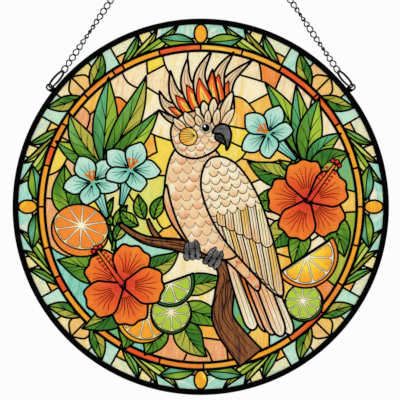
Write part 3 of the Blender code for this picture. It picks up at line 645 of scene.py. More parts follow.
def draw_head():
    """The bird's head with its tufts, cheek, eye and beak."""
    head = shape("bird_head", "-19 44, -18 53, -11 59.5, -2 62, 3 65, 9 65, 15 66, 20 73.5, 21.5 66, "
                 "20.5 58, 15 50, 11 38, -2 31, -14 34", "blush blush peach", (0, 50), (24, 0), kind="rayed")
    scale_rows(head, (-6, 56), (-6, 31), 7, (22, 26), 5.6, ("peach shell blush", "shell milk salmon"), 1, 0.6)
    for root, tip, width in (
            ((-10, 50), (-17.5, 57), 5), ((-4, 52), (-10.5, 61), 5.5), ((6, 53), (-3.4, 64), 6),
            ((6, 56), (1.5, 68), 6.5), ((9, 56), (8.5, 70), 6.5), ((12, 56), (15.5, 69), 5.5),
            ((13, 53), (20.5, 74), 6.5), ((14, 50), (21.5, 63), 5.5), ((10, 52), (11.5, 63), 5),
            ((5, 53), (5, 62), 4.6),
            ((1, 52), (-3, 59), 4.6)):
        middle = rib(root, tip, 0.6, 14)
        swells = [width * math.sin(math.pi * (0.12 + 0.88 * i / 14)) ** 0.6 for i in range(14)] + [0.0]
        tuft = add("bird_head", blade(middle, swells), "peach shell milk", "along", root,
                   away_from(root, tip), "main" if tip[1] > 67 else "fine")
        paint(tuft, middle[4:-4], 0.4, 0.2)
    cheek = add("bird_head", circle(5.8, 24, (-8, 45)), "butter honey amber", "rayed", (-4, 46), (9, 0),
                "fine", head)
    root = (-3.6, 45.6)
    for spread in (-50, -30, -10, 10, 30, 50):
        paint(cheek, curve([root, polar(5, 180 + spread * 0.8, root),
                            polar(9.6, 180 + spread * 0.55, root)], 3), 0.34)
    eye = (3.2, 50.6)
    ring = add("bird_head", circle(4.0, 24, eye), "ash shell ash", "rayed", eye, (4, 0), None, head)
    paint(ring, arc(3.4, 0, 360, 24, eye), 0.34)
    add("bird_head", circle(2.5, 20, eye), "black", "paint", lead=None, parent=head)
    add("bird_head", circle(0.7, 10, (2.5, 51.6)), "white", lead=None, parent=head)
    lower = shape("bird_beak", "9 44, 13 41, 16.5 40, 15 46, 11 48", "slate coal slate", (9, 46), (6, -6),
                  "main")
    upper = shape("bird_beak", "7.5 48, 11 52.5, 16.5 52.5, 19.5 47.5, 18.8 41, 16.6 36.5, 15.6 42, "
                  "13.4 46.5, 9.6 47", "slate ash coal", (8, 52), (12, -14))
    for shift in (0.0, 1.6, 3.2):
        paint(upper, curve([(11 + shift, 50.5), (14 + shift, 49), (16 + shift * 0.6, 44 - shift)], 3), 0.3,
              0.15)
    paint(lower, [(10, 45), (14, 43)], 0.3)


def draw_foot(middle, turn):
    """A foot with three ringed toes round the branch."""
    spin = Matrix.Rotation(math.radians(turn), 2)
    for shift in (3.4, -3.4, 0.0):
        bends = curve([(shift * 0.2, 5.6), (shift * 0.8, 3.4), (shift, -0.4), (shift * 1.1, -4.0),
                       (shift * 0.9 + 0.5, -6.4)], 4)
        toe = [tuple(Vector(middle) + spin @ Vector(point)) for point in bends]
        whole = add("bird_breast", blade(toe, [4.6] * 14 + [3.8, 2.6, 1.0]), "black", "paint", lead=None)
        part = add("bird_breast", blade(toe[:-1], [3.2] * 13 + [2.6, 1.8, 0.8]), "ash slate ash", "along",
                   toe[0], (0, -10), None, whole)
        for i in range(2, len(toe) - 2, 2):
            here, along = Vector(toe[i]), (Vector(toe[i + 1]) - Vector(toe[i - 1])).normalized()
            across = Vector((-along.y, along.x)) * 1.4
            paint(part, [tuple(here - across), tuple(here + along * 0.5), tuple(here + across)], 0.24)


def draw_picture():
    """All the figures, from the lowest to the topmost."""
    draw_border()
    draw_band()
    draw_field()
    draw_leaves()
    draw_fruit()
    draw_flowers()
    draw_branch()
    draw_body()
    draw_crest()
    draw_head()
    draw_foot((-5.5, -28.0), 4)
    draw_foot((8.5, -33), -30)


# From overlapping figures to panes and lead lines

def overlay():
    """The picture as triangles, each with the figures that show there, and its styled lead edges."""
    points, edges, faces, cut_owners = [], [], [], []
    for index, figure in enumerate(figures):
        faces.append(list(range(len(points), len(points) + len(figure.outline))))
        points.extend(Vector(point) for point in figure.outline)
        for path in figure.cuts:
            start = len(points)
            points.extend(Vector(point) for point in path)
            edges.extend((start + k, start + k + 1) for k in range(len(path) - 1))
            cut_owners.extend([index] * (len(path) - 1))
    corners, lines, triangles, _, line_sources, sources = delaunay_2d_cdt(points, edges, faces, 1, 1e-5, True)
    shown, kept = [], []
    for corner, marks in zip(triangles, sources):
        here = []
        for index in sorted(set(marks)):
            if figures[index].parent is None or figures[index].parent in here:
                here.append(index)
        if here:
            shown.append(here)
            kept.append(corner)
    triangles = kept
    sides = {}
    for number, corner in enumerate(triangles):
        for k in range(3):
            sides.setdefault(frozenset((corner[k], corner[k - 1])), []).append(number)
    cuts = {}
    for line, found in zip(lines, line_sources):
        owners = {cut_owners[k] for k in found if k < len(cut_owners)}
        if owners:
            cuts[frozenset(line)] = owners
    leads = {}
    for line, near in sides.items():
        if len(near) != 2:
            continue
        one, two = set(shown[near[0]]), set(shown[near[1]])
        cover = max((i for i in one & two if figures[i].kind != "paint"), default=-1)
        candidates = [i for i in one ^ two if i > cover and figures[i].lead]
        candidates += [i for i in cuts.get(line, ()) if i == cover]
        if candidates:
            styles = [figures[i].lead if i not in cuts.get(line, ()) else "main" for i in candidates]
            leads[line] = max(styles, key=lambda style: BEADS[style][0])
    while True:
        ends = Counter(end for line in leads for end in line)
        loose = [line for line in leads if line in cuts and any(ends[end] == 1 for end in line)]
        if not loose:
            break
        for line in loose:
            del leads[line]
    return corners, triangles, shown, sides, leads


def groups_of(triangles, sides, leads):
    """Groups of triangles that no lead line parts."""
    parent = list(range(len(triangles)))

    def root(i):
        while parent[i] != i:
            parent[i] = parent[parent[i]]
            i = parent[i]
        return i

    for line, near in sides.items():
        if len(near) == 2 and line not in leads:
            parent[root(near[0])] = root(near[1])
    found = {}
    for number in range(len(triangles)):
        found.setdefault(root(number), []).append(number)
    return list(found.values())


def chains_of(leads, corners):
    """The lead edges as long lines that run straight through their crossings."""
    at = {}
    for line in leads:
        for end in line:
            at.setdefault(end, []).append(line)
    partner = {}
    for end, lines in at.items():
        pairs = []
        for i, first in enumerate(lines):
            for second in lines[i + 1:]:
                if leads[first] != leads[second]:
                    continue
                (a,), (b,) = first - {end}, second - {end}
                one, two = (corners[a] - corners[end]).normalized(), (corners[b] - corners[end]).normalized()
                pairs.append((one.dot(two), id(first), first, second))
        for turn, _, first, second in sorted(pairs, key=lambda pair: pair[:2]):
            if turn < -0.5 and (first, end) not in partner and (second, end) not in partner:
                partner[(first, end)] = second
                partner[(second, end)] = first
    seen, found = set(), []
    order = sorted(leads, key=lambda line: sorted(line))
    starts = [(line, end) for line in order for end in sorted(line) if (line, end) not in partner]
    for line, end in starts + [(line, min(line)) for line in order]:
        if line in seen:
            continue
        path, style, closed = [end], leads[line], False
        while line is not None and line not in seen:
            seen.add(line)
            (end,) = line - {end}
            path.append(end)
            line = partner.get((line, end))
        if path[0] == path[-1] and len(path) > 3:
            closed, path = True, path[:-1]
        found.append((style, closed, path))
    return found


# Materials

# The kinds of figure, in the order of the materials, and the attributes that hold a face's tones
KINDS = ("streaky", "along", "rayed", "paint")
TONE_KEYS = ("tone_one", "tone_two", "tone_three")

# The step between the seeds of two figures, and lengths of the glass in metres
SEED_STEP = 1.37
STREAK_LENGTH = 0.026
STREAK_WIDTH = 0.0048
GLASS_RELIEF = 0.0004
COAT_RELIEF = 0.0001


def linear(name):
    """A named colour in linear light, less the light that the surface adds."""
    seen = (c / 255 / 12.92 if c < 11 else ((c / 255 + 0.055) / 1.055) ** 2.4 for c in TONES[name])
    return tuple(max(c - HAZE, 0.0) for c in seen) + (1.0,)


class Nodes:
    """A short way to build a node tree."""

    def __init__(self, tree):
        self.tree = tree

    def add(self, kind, inputs=(), **settings):
        node = self.tree.nodes.new(kind)
        for name, value in settings.items():
            setattr(node, name, value)
        for key, value in dict(inputs).items():
            if isinstance(value, bpy.types.NodeSocket):
                self.tree.links.new(value, node.inputs[key])
            else:
                node.inputs[key].default_value = value
        return node

    def math(self, operation, a, b=0.0, clamp=False):
        return self.add("ShaderNodeMath", {0: a, 1: b}, operation=operation, use_clamp=clamp).outputs[0]

    def vector(self, operation, a, b=(0.0, 0.0, 0.0)):
        node = self.add("ShaderNodeVectorMath", {0: a, 1: b}, operation=operation)
        return node.outputs["Value" if operation in ("DOT_PRODUCT", "LENGTH") else "Vector"]

    def noise(self, place, scale, detail=2.0, distortion=0.0):
        node = self.add("ShaderNodeTexNoise", {"Vector": place, "Scale": scale, "Detail": detail,
                                               "Distortion": distortion})
        return node.outputs["Fac"]

    def between(self, value, low, high, new_low=0.0, new_high=1.0):
        node = self.add("ShaderNodeMapRange", {"Value": value, "From Min": low, "From Max": high,
                                               "To Min": new_low,
                                               "To Max": new_high})
        return node.outputs["Result"]

    def mix(self, factor, a, b, blend="MIX"):
        node = self.add("ShaderNodeMix", data_type="RGBA", blend_type=blend)
        for socket, value in ((node.inputs[0], factor), (node.inputs[6], a), (node.inputs[7], b)):
            if isinstance(value, bpy.types.NodeSocket):
                self.tree.links.new(value, socket)
            else:
                socket.default_value = value
        return node.outputs[2]


def new_material(name):
    """An empty node material with its shader."""
    material = bpy.data.materials.new(name)
    material.use_nodes = True
    nodes = Nodes(material.node_tree)
    shader = material.node_tree.nodes["Principled BSDF"]
    return material, nodes, shader


def new_group(name, inputs, outputs):
    """A shader node group with named sockets: its nodes, its inputs and its outputs."""
    tree = bpy.data.node_groups.new(name, "ShaderNodeTree")
    for label, kind in inputs:
        tree.interface.new_socket(label, in_out="INPUT", socket_type=f"NodeSocket{kind}")
    for label, kind in outputs:
        tree.interface.new_socket(label, in_out="OUTPUT", socket_type=f"NodeSocket{kind}")
    nodes = Nodes(tree)
    return nodes, nodes.add("NodeGroupInput").outputs, nodes.add("NodeGroupOutput").inputs


def glass_group():
    """Where a point lies on its figure, and the streaks, clouds and ripples of rolled glass."""
    nodes, given, out = new_group(
        "rolled_glass",
        [("Place", "Vector"), ("Streak Length", "Float"), ("Streak Width", "Float"), ("Ripple", "Float")],
        [("Along", "Float"), ("Outwards", "Float"), ("Wisps", "Float"), ("Streaks", "Float"),
         ("Rays", "Float"),
         ("Shade", "Color"), ("Roughness", "Float"), ("Normal", "Vector")])
    link = nodes.tree.links.new
    axis = nodes.add("ShaderNodeAttribute", attribute_name="pane_axis").outputs["Vector"]
    base = nodes.add("ShaderNodeAttribute", attribute_name="pane_base").outputs["Vector"]
    seed = nodes.add("ShaderNodeAttribute", attribute_name="pane_seed").outputs["Fac"]
    away = nodes.vector("SUBTRACT", given["Place"], base)
    ahead = nodes.vector("NORMALIZE", axis)
    along = nodes.vector("DOT_PRODUCT", away, ahead)
    across = nodes.vector("DOT_PRODUCT", away, nodes.vector("CROSS_PRODUCT", ahead, (0.0, 1.0, 0.0)))
    length = nodes.vector("LENGTH", axis)
    flow = nodes.add("ShaderNodeCombineXYZ", {0: nodes.math("DIVIDE", along, given["Streak Length"]),
                                              1: nodes.math("DIVIDE", across, given["Streak Width"]),
                                              2: seed}).outputs[0]
    wisps = nodes.noise(flow, 1.0, 3.0, 0.8)
    fine = nodes.noise(flow, 3.6, 2.0, 0.3)
    cloud = nodes.noise(given["Place"], 120.0, 3.0, 1.2)
    grain = nodes.noise(given["Place"], 900.0, 2.0)
    shade = nodes.math("ADD", nodes.between(cloud, 0.25, 0.75, 0.90, 1.04),
                       nodes.between(grain, 0.3, 0.7, -0.03, 0.03))
    ripple = nodes.math("ADD", nodes.noise(flow, 0.6, 2.0), nodes.math("MULTIPLY", cloud, 0.5))
    rays = nodes.noise(nodes.vector("NORMALIZE", away), 7.0, 3.0, 0.2)
    link(nodes.math("DIVIDE", along, length), out["Along"])
    link(nodes.math("DIVIDE", nodes.vector("LENGTH", away), length), out["Outwards"])
    link(nodes.between(wisps, 0.3, 0.7, -1.0, 1.0), out["Wisps"])
    link(nodes.math("ADD", wisps, nodes.math("MULTIPLY", fine, 0.25)), out["Streaks"])
    link(nodes.between(rays, 0.3, 0.7, -1.0, 1.0), out["Rays"])
    link(nodes.add("ShaderNodeCombineColor", {0: shade, 1: shade, 2: shade}).outputs[0], out["Shade"])
    link(nodes.between(wisps, 0.3, 0.7, 0.10, 0.28), out["Roughness"])
    link(nodes.add("ShaderNodeBump", {"Height": ripple, "Strength": given["Ripple"],
                                      "Distance": GLASS_RELIEF}).outputs[0], out["Normal"])
    return nodes.tree


def tones_group():
    """The three tones of a figure, one after another as a share goes from 0 to 1."""
    nodes, given, out = new_group("three_tones", [("Share", "Float"), ("Shade", "Color")],
                                  [("Color", "Color")])
    one, two, three = (nodes.add("ShaderNodeAttribute", attribute_name=key).outputs["Color"]
                       for key in TONE_KEYS)
    lower = nodes.mix(nodes.between(given["Share"], 0.0, 0.5), one, two)
    colour = nodes.mix(nodes.between(given["Share"], 0.5, 1.0), lower, three)
    nodes.tree.links.new(nodes.mix(1.0, colour, given["Shade"], "MULTIPLY"), out["Color"])
    return nodes.tree


def grain_group():
    """The fine grain and faint wear of a black coat."""
    nodes, given, out = new_group(
        "black_grain",
        [("Place", "Vector"), ("Scale", "Float"), ("Coat", "Color"), ("Worn", "Color"),
         ("Smoothest", "Float"),
         ("Roughest", "Float"), ("Bump", "Float")],
        [("Color", "Color"), ("Roughness", "Float"), ("Normal", "Vector")])
    link = nodes.tree.links.new
    grain = nodes.noise(given["Place"], given["Scale"], 4.0)
    cloud = nodes.noise(given["Place"], 160.0, 3.0, 0.6)
    link(nodes.mix(nodes.between(cloud, 0.4, 0.75), given["Coat"], given["Worn"]), out["Color"])
    link(nodes.between(grain, 0.3, 0.7, given["Smoothest"], given["Roughest"]), out["Roughness"])
    link(nodes.add("ShaderNodeBump", {"Height": grain, "Strength": given["Bump"],
                                      "Distance": COAT_RELIEF}).outputs[0], out["Normal"])
    return nodes.tree


def glass_material(kind, rolled, toned):
    """Streaky glass whose three tones follow its own streaks, its length or the distance from its middle."""
    material, nodes, shader = new_material(f"{kind}_glass")
    link = material.node_tree.links.new
    place = nodes.add("ShaderNodeTexCoord").outputs["Object"]
    glass = nodes.add("ShaderNodeGroup", {
        "Place": place, "Streak Length": STREAK_LENGTH, "Streak Width": STREAK_WIDTH, "Ripple": 0.25},
        node_tree=rolled).outputs
    if kind == "streaky":
        share = nodes.between(glass["Streaks"], 0.42, 0.82)
    elif kind == "along":
        share = nodes.math("ADD", glass["Along"], nodes.math("MULTIPLY", glass["Wisps"], 0.22), True)
    else:
        share = nodes.math("ADD", glass["Outwards"], nodes.math("MULTIPLY", glass["Rays"], 0.16), True)
    tones = nodes.add("ShaderNodeGroup", {"Share": share, "Shade": glass["Shade"]}, node_tree=toned)
    link(tones.outputs["Color"], shader.inputs["Base Color"])
    link(glass["Roughness"], shader.inputs["Roughness"])
    link(glass["Normal"], shader.inputs["Normal"])
    shader.inputs["Transmission Weight"].default_value = 0.45
    shader.inputs["IOR"].default_value = 1.5
    shader.inputs["Specular IOR Level"].default_value = 0.12
    return material


def black_material(name, grains, tone, roughness, bump, scale, specular):
    """A black coat with a fine grain and faint wear."""
    material, nodes, shader = new_material(name)
    link = material.node_tree.links.new
    place = nodes.add("ShaderNodeTexCoord").outputs["Object"]
    coat = nodes.add("ShaderNodeGroup", {
        "Place": place, "Scale": scale, "Coat": (tone, tone, tone, 1.0),
        "Worn": (tone * 1.9, tone * 1.85, tone * 1.8, 1.0), "Smoothest": roughness - 0.08,
        "Roughest": roughness + 0.08, "Bump": bump}, node_tree=grains).outputs
    for socket, label in (("Base Color", "Color"), ("Roughness", "Roughness"), ("Normal", "Normal")):
        link(coat[label], shader.inputs[socket])
    shader.inputs["Specular IOR Level"].default_value = specular
    return material


# Building the pieces

def in_row(point, centre):
    """A point of the picture in the row frame, on the panel's middle plane."""
    return (centre.x + point[0] * SHARE, centre.y, centre.z + point[1] * SHARE)


def finish_piece(thing, nodes):
    """Tie a piece to the frame's body and hide the CAD nodes it stands for."""
    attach(thing, "root")
    if nodes:
        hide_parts(*nodes)


def new_object(name, data):
    """A new object in the scene."""
    thing = bpy.data.objects.new(name, data)
    bpy.context.scene.collection.objects.link(thing)
    return thing


def apply_modifiers(thing):
    """Apply all the modifiers of one object."""
    bpy.ops.object.select_all(action="DESELECT")
    bpy.context.view_layer.objects.active = thing
    thing.select_set(True)
    for modifier in list(thing.modifiers):
        bpy.ops.object.modifier_apply(modifier=modifier.name)


def give(mesh, name, kind, field, values):
    """A named value on each face of a mesh."""
    mesh.attributes.new(name, kind, "FACE").data.foreach_set(field, values)


def build_panes(name, panes, corners, triangles, shown, centre, materials):
    """One piece with a closed slab of glass for each pane, and each figure's tones on its faces."""
    spots = [(tones.split(), Vector(spot)) for tones, text in FIELD_TONES.items() for spot in points_of(text)]
    vertices, polygons, owners, tones = [], [], [], []
    for pane in panes:
        place = {}
        weight, middle = 1e-9, Vector((0.0, 0.0))
        for number in pane:
            a, b, c = (corners[k] for k in triangles[number])
            size = abs((b - a).cross(c - a))
            weight, middle = weight + size, middle + (a + b + c) / 3 * size
            for corner in triangles[number]:
                if corner not in place:
                    place[corner] = len(vertices)
                    vertices.append(in_row(corners[corner], centre))
        middle /= weight
        own, _ = min(spots, key=lambda item: (item[1] - middle).length)
        for number in pane:
            owner = shown[number][-1]
            polygons.append(tuple(place[k] for k in triangles[number]))
            owners.append(owner)
            tones.append(own if name == "field_glass" and figures[owner].cuts else figures[owner].tones)
    mesh = bpy.data.meshes.new(name)
    mesh.from_pydata(vertices, [], polygons)
    for material in materials:
        mesh.materials.append(material)
    mesh.polygons.foreach_set("material_index", [KINDS.index(figures[i].kind) for i in owners])
    for k, key in enumerate(TONE_KEYS):
        give(mesh, key, "FLOAT_COLOR", "color", [value for shades in tones for value in linear(shades[k])])
    given = [figures[owner] for owner in owners]
    give(mesh, "pane_base", "FLOAT_VECTOR", "vector", [v for one in given for v in in_row(one.base, centre)])
    give(mesh, "pane_axis", "FLOAT_VECTOR", "vector",
         [v for one in given for v in (one.axis[0] * SHARE, 0.0, one.axis[1] * SHARE)])
    give(mesh, "pane_seed", "FLOAT", "value", [owner * SEED_STEP for owner in owners])
    mesh.update()
    thing = new_object(name, mesh)
    slab = thing.modifiers.new("thickness", "SOLIDIFY")
    slab.thickness = GLASS_THICKNESS
    slab.offset = 0.0
    apply_modifiers(thing)
    return thing


# Crossings closer to a straight line than this, in shares, are left out of a bead's path
STRAIGHT = 0.08


def bead_profile(width, depth):
    """The half-round section of a lead bead, on both faces, as points across and along its depth."""
    points = []
    for i in range(12):
        turn = math.tau * (i + 0.5) / 12
        x, y = math.cos(turn), math.sin(turn)
        points.append((math.copysign(abs(x) ** 0.7, x) * width / 2,
                       math.copysign(abs(y) ** 0.6, y) * depth / 2))
    return points


def new_curve(name, dimensions):
    """A new curve whose swept ends are closed."""
    data = bpy.data.curves.new(name, "CURVE")
    data.dimensions = dimensions
    data.use_fill_caps = True
    return data


def add_line(data, points, closed):
    """Straight steps through some points, as a new line of a curve."""
    spline = data.splines.new("POLY")
    spline.points.add(len(points) - 1)
    for target, point in zip(spline.points, points):
        target.co = (*point, 1.0)
    spline.use_cyclic_u = closed


def swept_mesh(data, material):
    """The smooth mesh of a curve's swept section."""
    swept = new_object(data.name, data)
    mesh = bpy.data.meshes.new_from_object(swept.evaluated_get(bpy.context.evaluated_depsgraph_get()))
    bpy.data.objects.remove(swept)
    for polygon in mesh.polygons:
        polygon.use_smooth = True
    mesh.materials.clear()
    mesh.materials.append(material)
    return mesh


def build_leads(name, style, chains, corners, centre, material):
    """The lead beads of one style, swept along their lines, with a round solder end on each loose end."""
    width, depth = BEADS[style]
    profile = new_curve(f"{name}_profile", "2D")
    points = bead_profile(width, depth)
    add_line(profile, [(x, y, 0.0) for x, y in points], True)
    section = new_object(f"{name}_profile", profile)
    data = new_curve(name, "2D")
    data.fill_mode = "NONE"
    data.bevel_mode = "OBJECT"
    data.bevel_object = section
    ends = set()
    for _, closed, path in chains:
        kept = [path[0]]
        for i in range(1, len(path) - 1):
            before, here, after = corners[kept[-1]], corners[path[i]], corners[path[i + 1]]
            if abs((here - before).cross((after - here).normalized())) > STRAIGHT:
                kept.append(path[i])
        kept.append(path[-1])
        add_line(data, [(corners[k].x * SHARE, corners[k].y * SHARE, 0.0) for k in kept], closed)
        if not closed:
            ends.update((path[0], path[-1]))
    mesh = swept_mesh(data, material)
    bpy.data.objects.remove(section)
    build = bmesh.new()
    build.from_mesh(mesh)
    half = [(x, y) for x, y in points if x > 0]
    half.sort(key=lambda point: point[1])
    for end in sorted(ends):
        add_stud(build, corners[end] * SHARE, [(0.0, -depth / 2)] + half + [(0.0, depth / 2)])
    for face in build.faces:
        face.smooth = True
    build.to_mesh(mesh)
    build.free()
    mesh.transform(Matrix.Translation(centre) @ Matrix.Rotation(math.pi / 2, 4, "X"))
    return new_object(name, mesh)


def add_stud(build, middle, section, sides=8):
    """Turn a half section about a point of the picture's plane."""
    rings = []
    for radius, height in section:
        if radius == 0.0:
            rings.append([build.verts.new((middle.x, middle.y, height))])
            continue
        rings.append([build.verts.new((middle.x + radius * math.cos(math.tau * i / sides),
                                       middle.y + radius * math.sin(math.tau * i / sides), height))
                      for i in range(sides)])
    for lower, upper in zip(rings, rings[1:]):
        for i in range(sides):
            k = (i + 1) % sides
            corners = [lower[i % len(lower)], lower[k % len(lower)], upper[k % len(upper)],
                       upper[i % len(upper)]]
            build.faces.new(list(dict.fromkeys(corners)))


def side_of(side):
    """Minus one on the left and one on the right."""
    return -1.0 if side == "left" else 1.0


def rim_axes(side):
    """The unit vectors outwards from the panel's centre and up along the rim, at a split ring."""
    turn = math.radians(RING_ANGLE)
    return (Vector((side_of(side) * math.sin(turn), 0.0, math.cos(turn))),
            Vector((-side_of(side) * math.cos(turn), 0.0, math.sin(turn))))


def start_piece():
    """Deselect everything before a new primitive."""
    bpy.ops.object.select_all(action="DESELECT")


def select_only(thing, chosen):
    """Select some vertices of a mesh, and so the edges and faces between them."""
    for part in (thing.data.polygons, thing.data.edges):
        part.foreach_set("select", [False] * len(part))
    thing.data.vertices.foreach_set("select", [i in chosen for i in range(len(thing.data.vertices))])


def end_piece(name, material):
    """Name the active object, smooth it, put its place into its mesh and give it its coat."""
    thing = bpy.context.object
    thing.name = thing.data.name = name
    bpy.ops.object.transform_apply(location=True, rotation=True, scale=True)
    bpy.ops.object.shade_smooth_by_angle(angle=math.radians(SMOOTH_ANGLE))
    thing.data.materials.clear()
    thing.data.materials.append(material)
    return thing


def build_frame(centre, material):
    """The flat frame ring: a rounded section spun once round the panel."""
    start_piece()
    bpy.ops.mesh.primitive_plane_add(size=1.0, location=((PANEL_RADIUS + OPENING_RADIUS) / 2, 0.0, 0.0),
                                     rotation=(math.pi / 2, 0.0, 0.0))
    bpy.context.object.scale = (FRAME_WIDTH, FRAME_DEPTH, 1.0)
    bpy.ops.object.transform_apply(location=True, rotation=True, scale=True)
    bpy.ops.object.mode_set(mode="EDIT")
    bpy.ops.mesh.select_all(action="SELECT")
    bpy.ops.mesh.bevel(offset=FRAME_ROUNDING, segments=4, affect="VERTICES")
    bpy.ops.mesh.delete(type="ONLY_FACE")
    bpy.ops.mesh.select_all(action="SELECT")
    bpy.ops.mesh.spin(steps=240, angle=math.tau, center=(0.0, 0.0, 0.0), axis=(0.0, 0.0, 1.0))
    bpy.ops.mesh.select_all(action="SELECT")
    bpy.ops.mesh.remove_doubles(threshold=1e-6)
    bpy.ops.mesh.normals_make_consistent(inside=False)
    bpy.ops.object.mode_set(mode="OBJECT")
    bpy.context.object.rotation_euler = (math.pi / 2, 0.0, 0.0)
    bpy.context.object.location = centre
    return end_piece("frame_ring", material)


def build_wire(name, line, wire, material):
    """Round wire along a smooth open line in the row frame, as one mesh piece."""
    data = new_curve(name, "3D")
    data.bevel_depth = wire / 2
    data.bevel_resolution = 3
    add_line(data, line, False)
    return new_object(name, swept_mesh(data, material))


def split_ring_centre(side, centre):
    """The middle of a split ring in the row frame."""
    outwards, _ = rim_axes(side)
    return centre + outwards * (PANEL_RADIUS + SPLIT_RING_STANDOFF)


def build_split_ring(side, centre, material):
    """Two turns of round wire side by side, through the eyelet and the lowest link."""
    outwards, upwards = rim_axes(side)
    lean = math.radians(SPLIT_RING_LEAN)
    forwards = Vector((0.0, -math.cos(lean), 0.0)) - outwards * math.sin(lean)
    axis = upwards.cross(forwards)
    middle = split_ring_centre(side, centre)
    reach = (SPLIT_RING_DIAMETER - SPLIT_RING_WIRE) / 2
    line = []
    for i in range(97):
        turn = 2 * math.tau * i / 96 + SPLIT_RING_START
        shift = math.tanh((i - 48) / 5) * SPLIT_RING_WIRE * 0.5
        line.append(middle + (upwards * math.cos(turn) + forwards * math.sin(turn)) * reach + axis * shift)
    return build_wire(f"split_ring_wire_{side}", line, SPLIT_RING_WIRE, material)


def build_eyelet(side, centre, material):
    """A small flat lug on the frame's edge, with the hole for the split ring."""
    _, upwards = rim_axes(side)
    hole = split_ring_centre(side, centre) - upwards * (SPLIT_RING_DIAMETER - SPLIT_RING_WIRE) / 2
    inwards = (centre - hole).normalized()
    radius = EYELET_HOLE / 2 + EYELET_WALL
    turn = (math.pi / 2, 0.0, 0.0)
    start_piece()
    bpy.ops.mesh.primitive_cylinder_add(vertices=40, radius=radius, depth=EYELET_DEPTH, location=hole,
                                        rotation=turn)
    lug = bpy.context.object
    bpy.ops.object.transform_apply(location=True, rotation=True, scale=True)
    facing = [face for face in lug.data.polygons if face.normal.dot(inwards) > 0.2]
    select_only(lug, {i for face in facing for i in face.vertices})
    bpy.ops.object.mode_set(mode="EDIT")
    bpy.ops.mesh.extrude_region_move(TRANSFORM_OT_translate={"value": inwards * EYELET_ROOT})
    bpy.ops.object.mode_set(mode="OBJECT")
    start_piece()
    bpy.ops.mesh.primitive_cylinder_add(vertices=32, radius=EYELET_HOLE / 2, depth=0.01, location=hole,
                                        rotation=turn)
    cutter = bpy.context.object
    edge = lug.modifiers.new("edge", "BEVEL")
    edge.width = EYELET_ROUNDING
    edge.segments = 2
    edge.limit_method = "ANGLE"
    edge.angle_limit = math.radians(SMOOTH_ANGLE)
    bore = lug.modifiers.new("bore", "BOOLEAN")
    bore.operation = "DIFFERENCE"
    bore.object = cutter
    apply_modifiers(lug)
    bpy.data.objects.remove(cutter)
    return end_piece(f"eyelet_lug_{side}", material)


def build_link():
    """One oval link of round wire, flat and lying along X."""
    reach, wide = (LINK_LENGTH - LINK_WIRE) / 2, (LINK_WIDTH - LINK_WIRE) / 2
    start_piece()
    bpy.ops.curve.primitive_bezier_circle_add(radius=1.0)
    link = bpy.context.object
    link.scale = (reach, wide, 1.0)
    bpy.ops.object.transform_apply(location=True, rotation=True, scale=True)
    for point in link.data.splines[0].bezier_points:
        blunt = LINK_END_WIDTH / LINK_WIDTH * 1.9 if abs(point.co.x) > reach / 2 else 0.9
        point.handle_left_type = point.handle_right_type = "FREE"
        point.handle_left = point.co + (point.handle_left - point.co) * blunt
        point.handle_right = point.co + (point.handle_right - point.co) * blunt
        point.radius = 1.0
    link.data.resolution_u = 6
    link.data.bevel_depth = LINK_WIRE / 2
    link.data.bevel_resolution = 2
    bpy.ops.object.convert(target="MESH")
    return bpy.context.object


def build_chain(side, centre, ring_centre, material):
    """The links of one chain, from the split ring up to the hanging ring."""
    _, upwards = rim_axes(side)
    hook = split_ring_centre(side, centre) + upwards * (SPLIT_RING_DIAMETER - SPLIT_RING_WIRE) / 2
    along = (ring_centre - hook).normalized()
    corner = math.sqrt(math.tau / (4 * math.sin(math.tau / 4)))
    sunk = SPLIT_RING_WIRE / 2 + LINK_WIRE / 2 * corner + HOOK_OVERLAP
    start = hook + along * ((LINK_LENGTH - LINK_WIRE) / 2 - sunk)
    pitch = LINK_LENGTH - 2 * LINK_WIRE + LINK_OVERLAP
    first = FIRST_TWIST[side]
    low_end = first - 90.0
    roll = (90.0 + 180.0 * HALF_TURNS[side] - low_end) / (LINK_COUNT - 2)
    turns = [(first, first / 2)]
    for number in range(1, LINK_COUNT - 1):
        turns.append((90.0 + roll, low_end + (number - 1) * roll + (90.0 + roll) / 2))
    turns.append((0.0, 90.0))
    pattern = build_link()
    across, depth = Vector((along.z, 0.0, -along.x)), Vector((0.0, 1.0, 0.0))
    basis = Matrix((along, across, depth)).transposed().to_4x4()
    links = []
    for number, (twist, turn) in enumerate(turns):
        link = new_object("link", pattern.data.copy())
        bend = link.modifiers.new("twist", "SIMPLE_DEFORM")
        bend.deform_method = "TWIST"
        bend.deform_axis = "X"
        bend.angle = math.radians(side_of(side) * twist) * LINK_LENGTH / (LINK_LENGTH - LINK_WIRE)
        apply_modifiers(link)
        spin = Matrix.Rotation(math.radians(side_of(side) * turn), 4, "X")
        link.data.transform(Matrix.Translation(start + along * pitch * number) @ basis @ spin)
        links.append(link)
    bpy.data.objects.remove(pattern)
    start_piece()
    for link in links:
        link.select_set(True)
    bpy.context.view_layer.objects.active = links[0]
    bpy.ops.object.join()
    return end_piece(f"chain_links_{side}", material)


def build_hanging_ring(middle, material):
    """The round ring at the top, with the fine groove of its closed joint."""
    reach = (HANGING_RING_DIAMETER - HANGING_RING_WIRE) / 2
    start_piece()
    bpy.ops.mesh.primitive_torus_add(major_segments=96, minor_segments=16, major_radius=reach,
                                     minor_radius=HANGING_RING_WIRE / 2)
    ring = bpy.context.object
    select_only(ring, {i for i, vertex in enumerate(ring.data.vertices)
                       if abs(math.degrees(math.atan2(vertex.co.y, vertex.co.x)) - 15) < 1})
    bpy.ops.object.mode_set(mode="EDIT")
    bpy.ops.transform.shrink_fatten(value=-HANGING_RING_GROOVE)
    bpy.ops.object.mode_set(mode="OBJECT")
    ring.rotation_euler = (math.pi / 2, 0.0, 0.0)
    ring.location = middle
    return end_piece("top_ring", material)


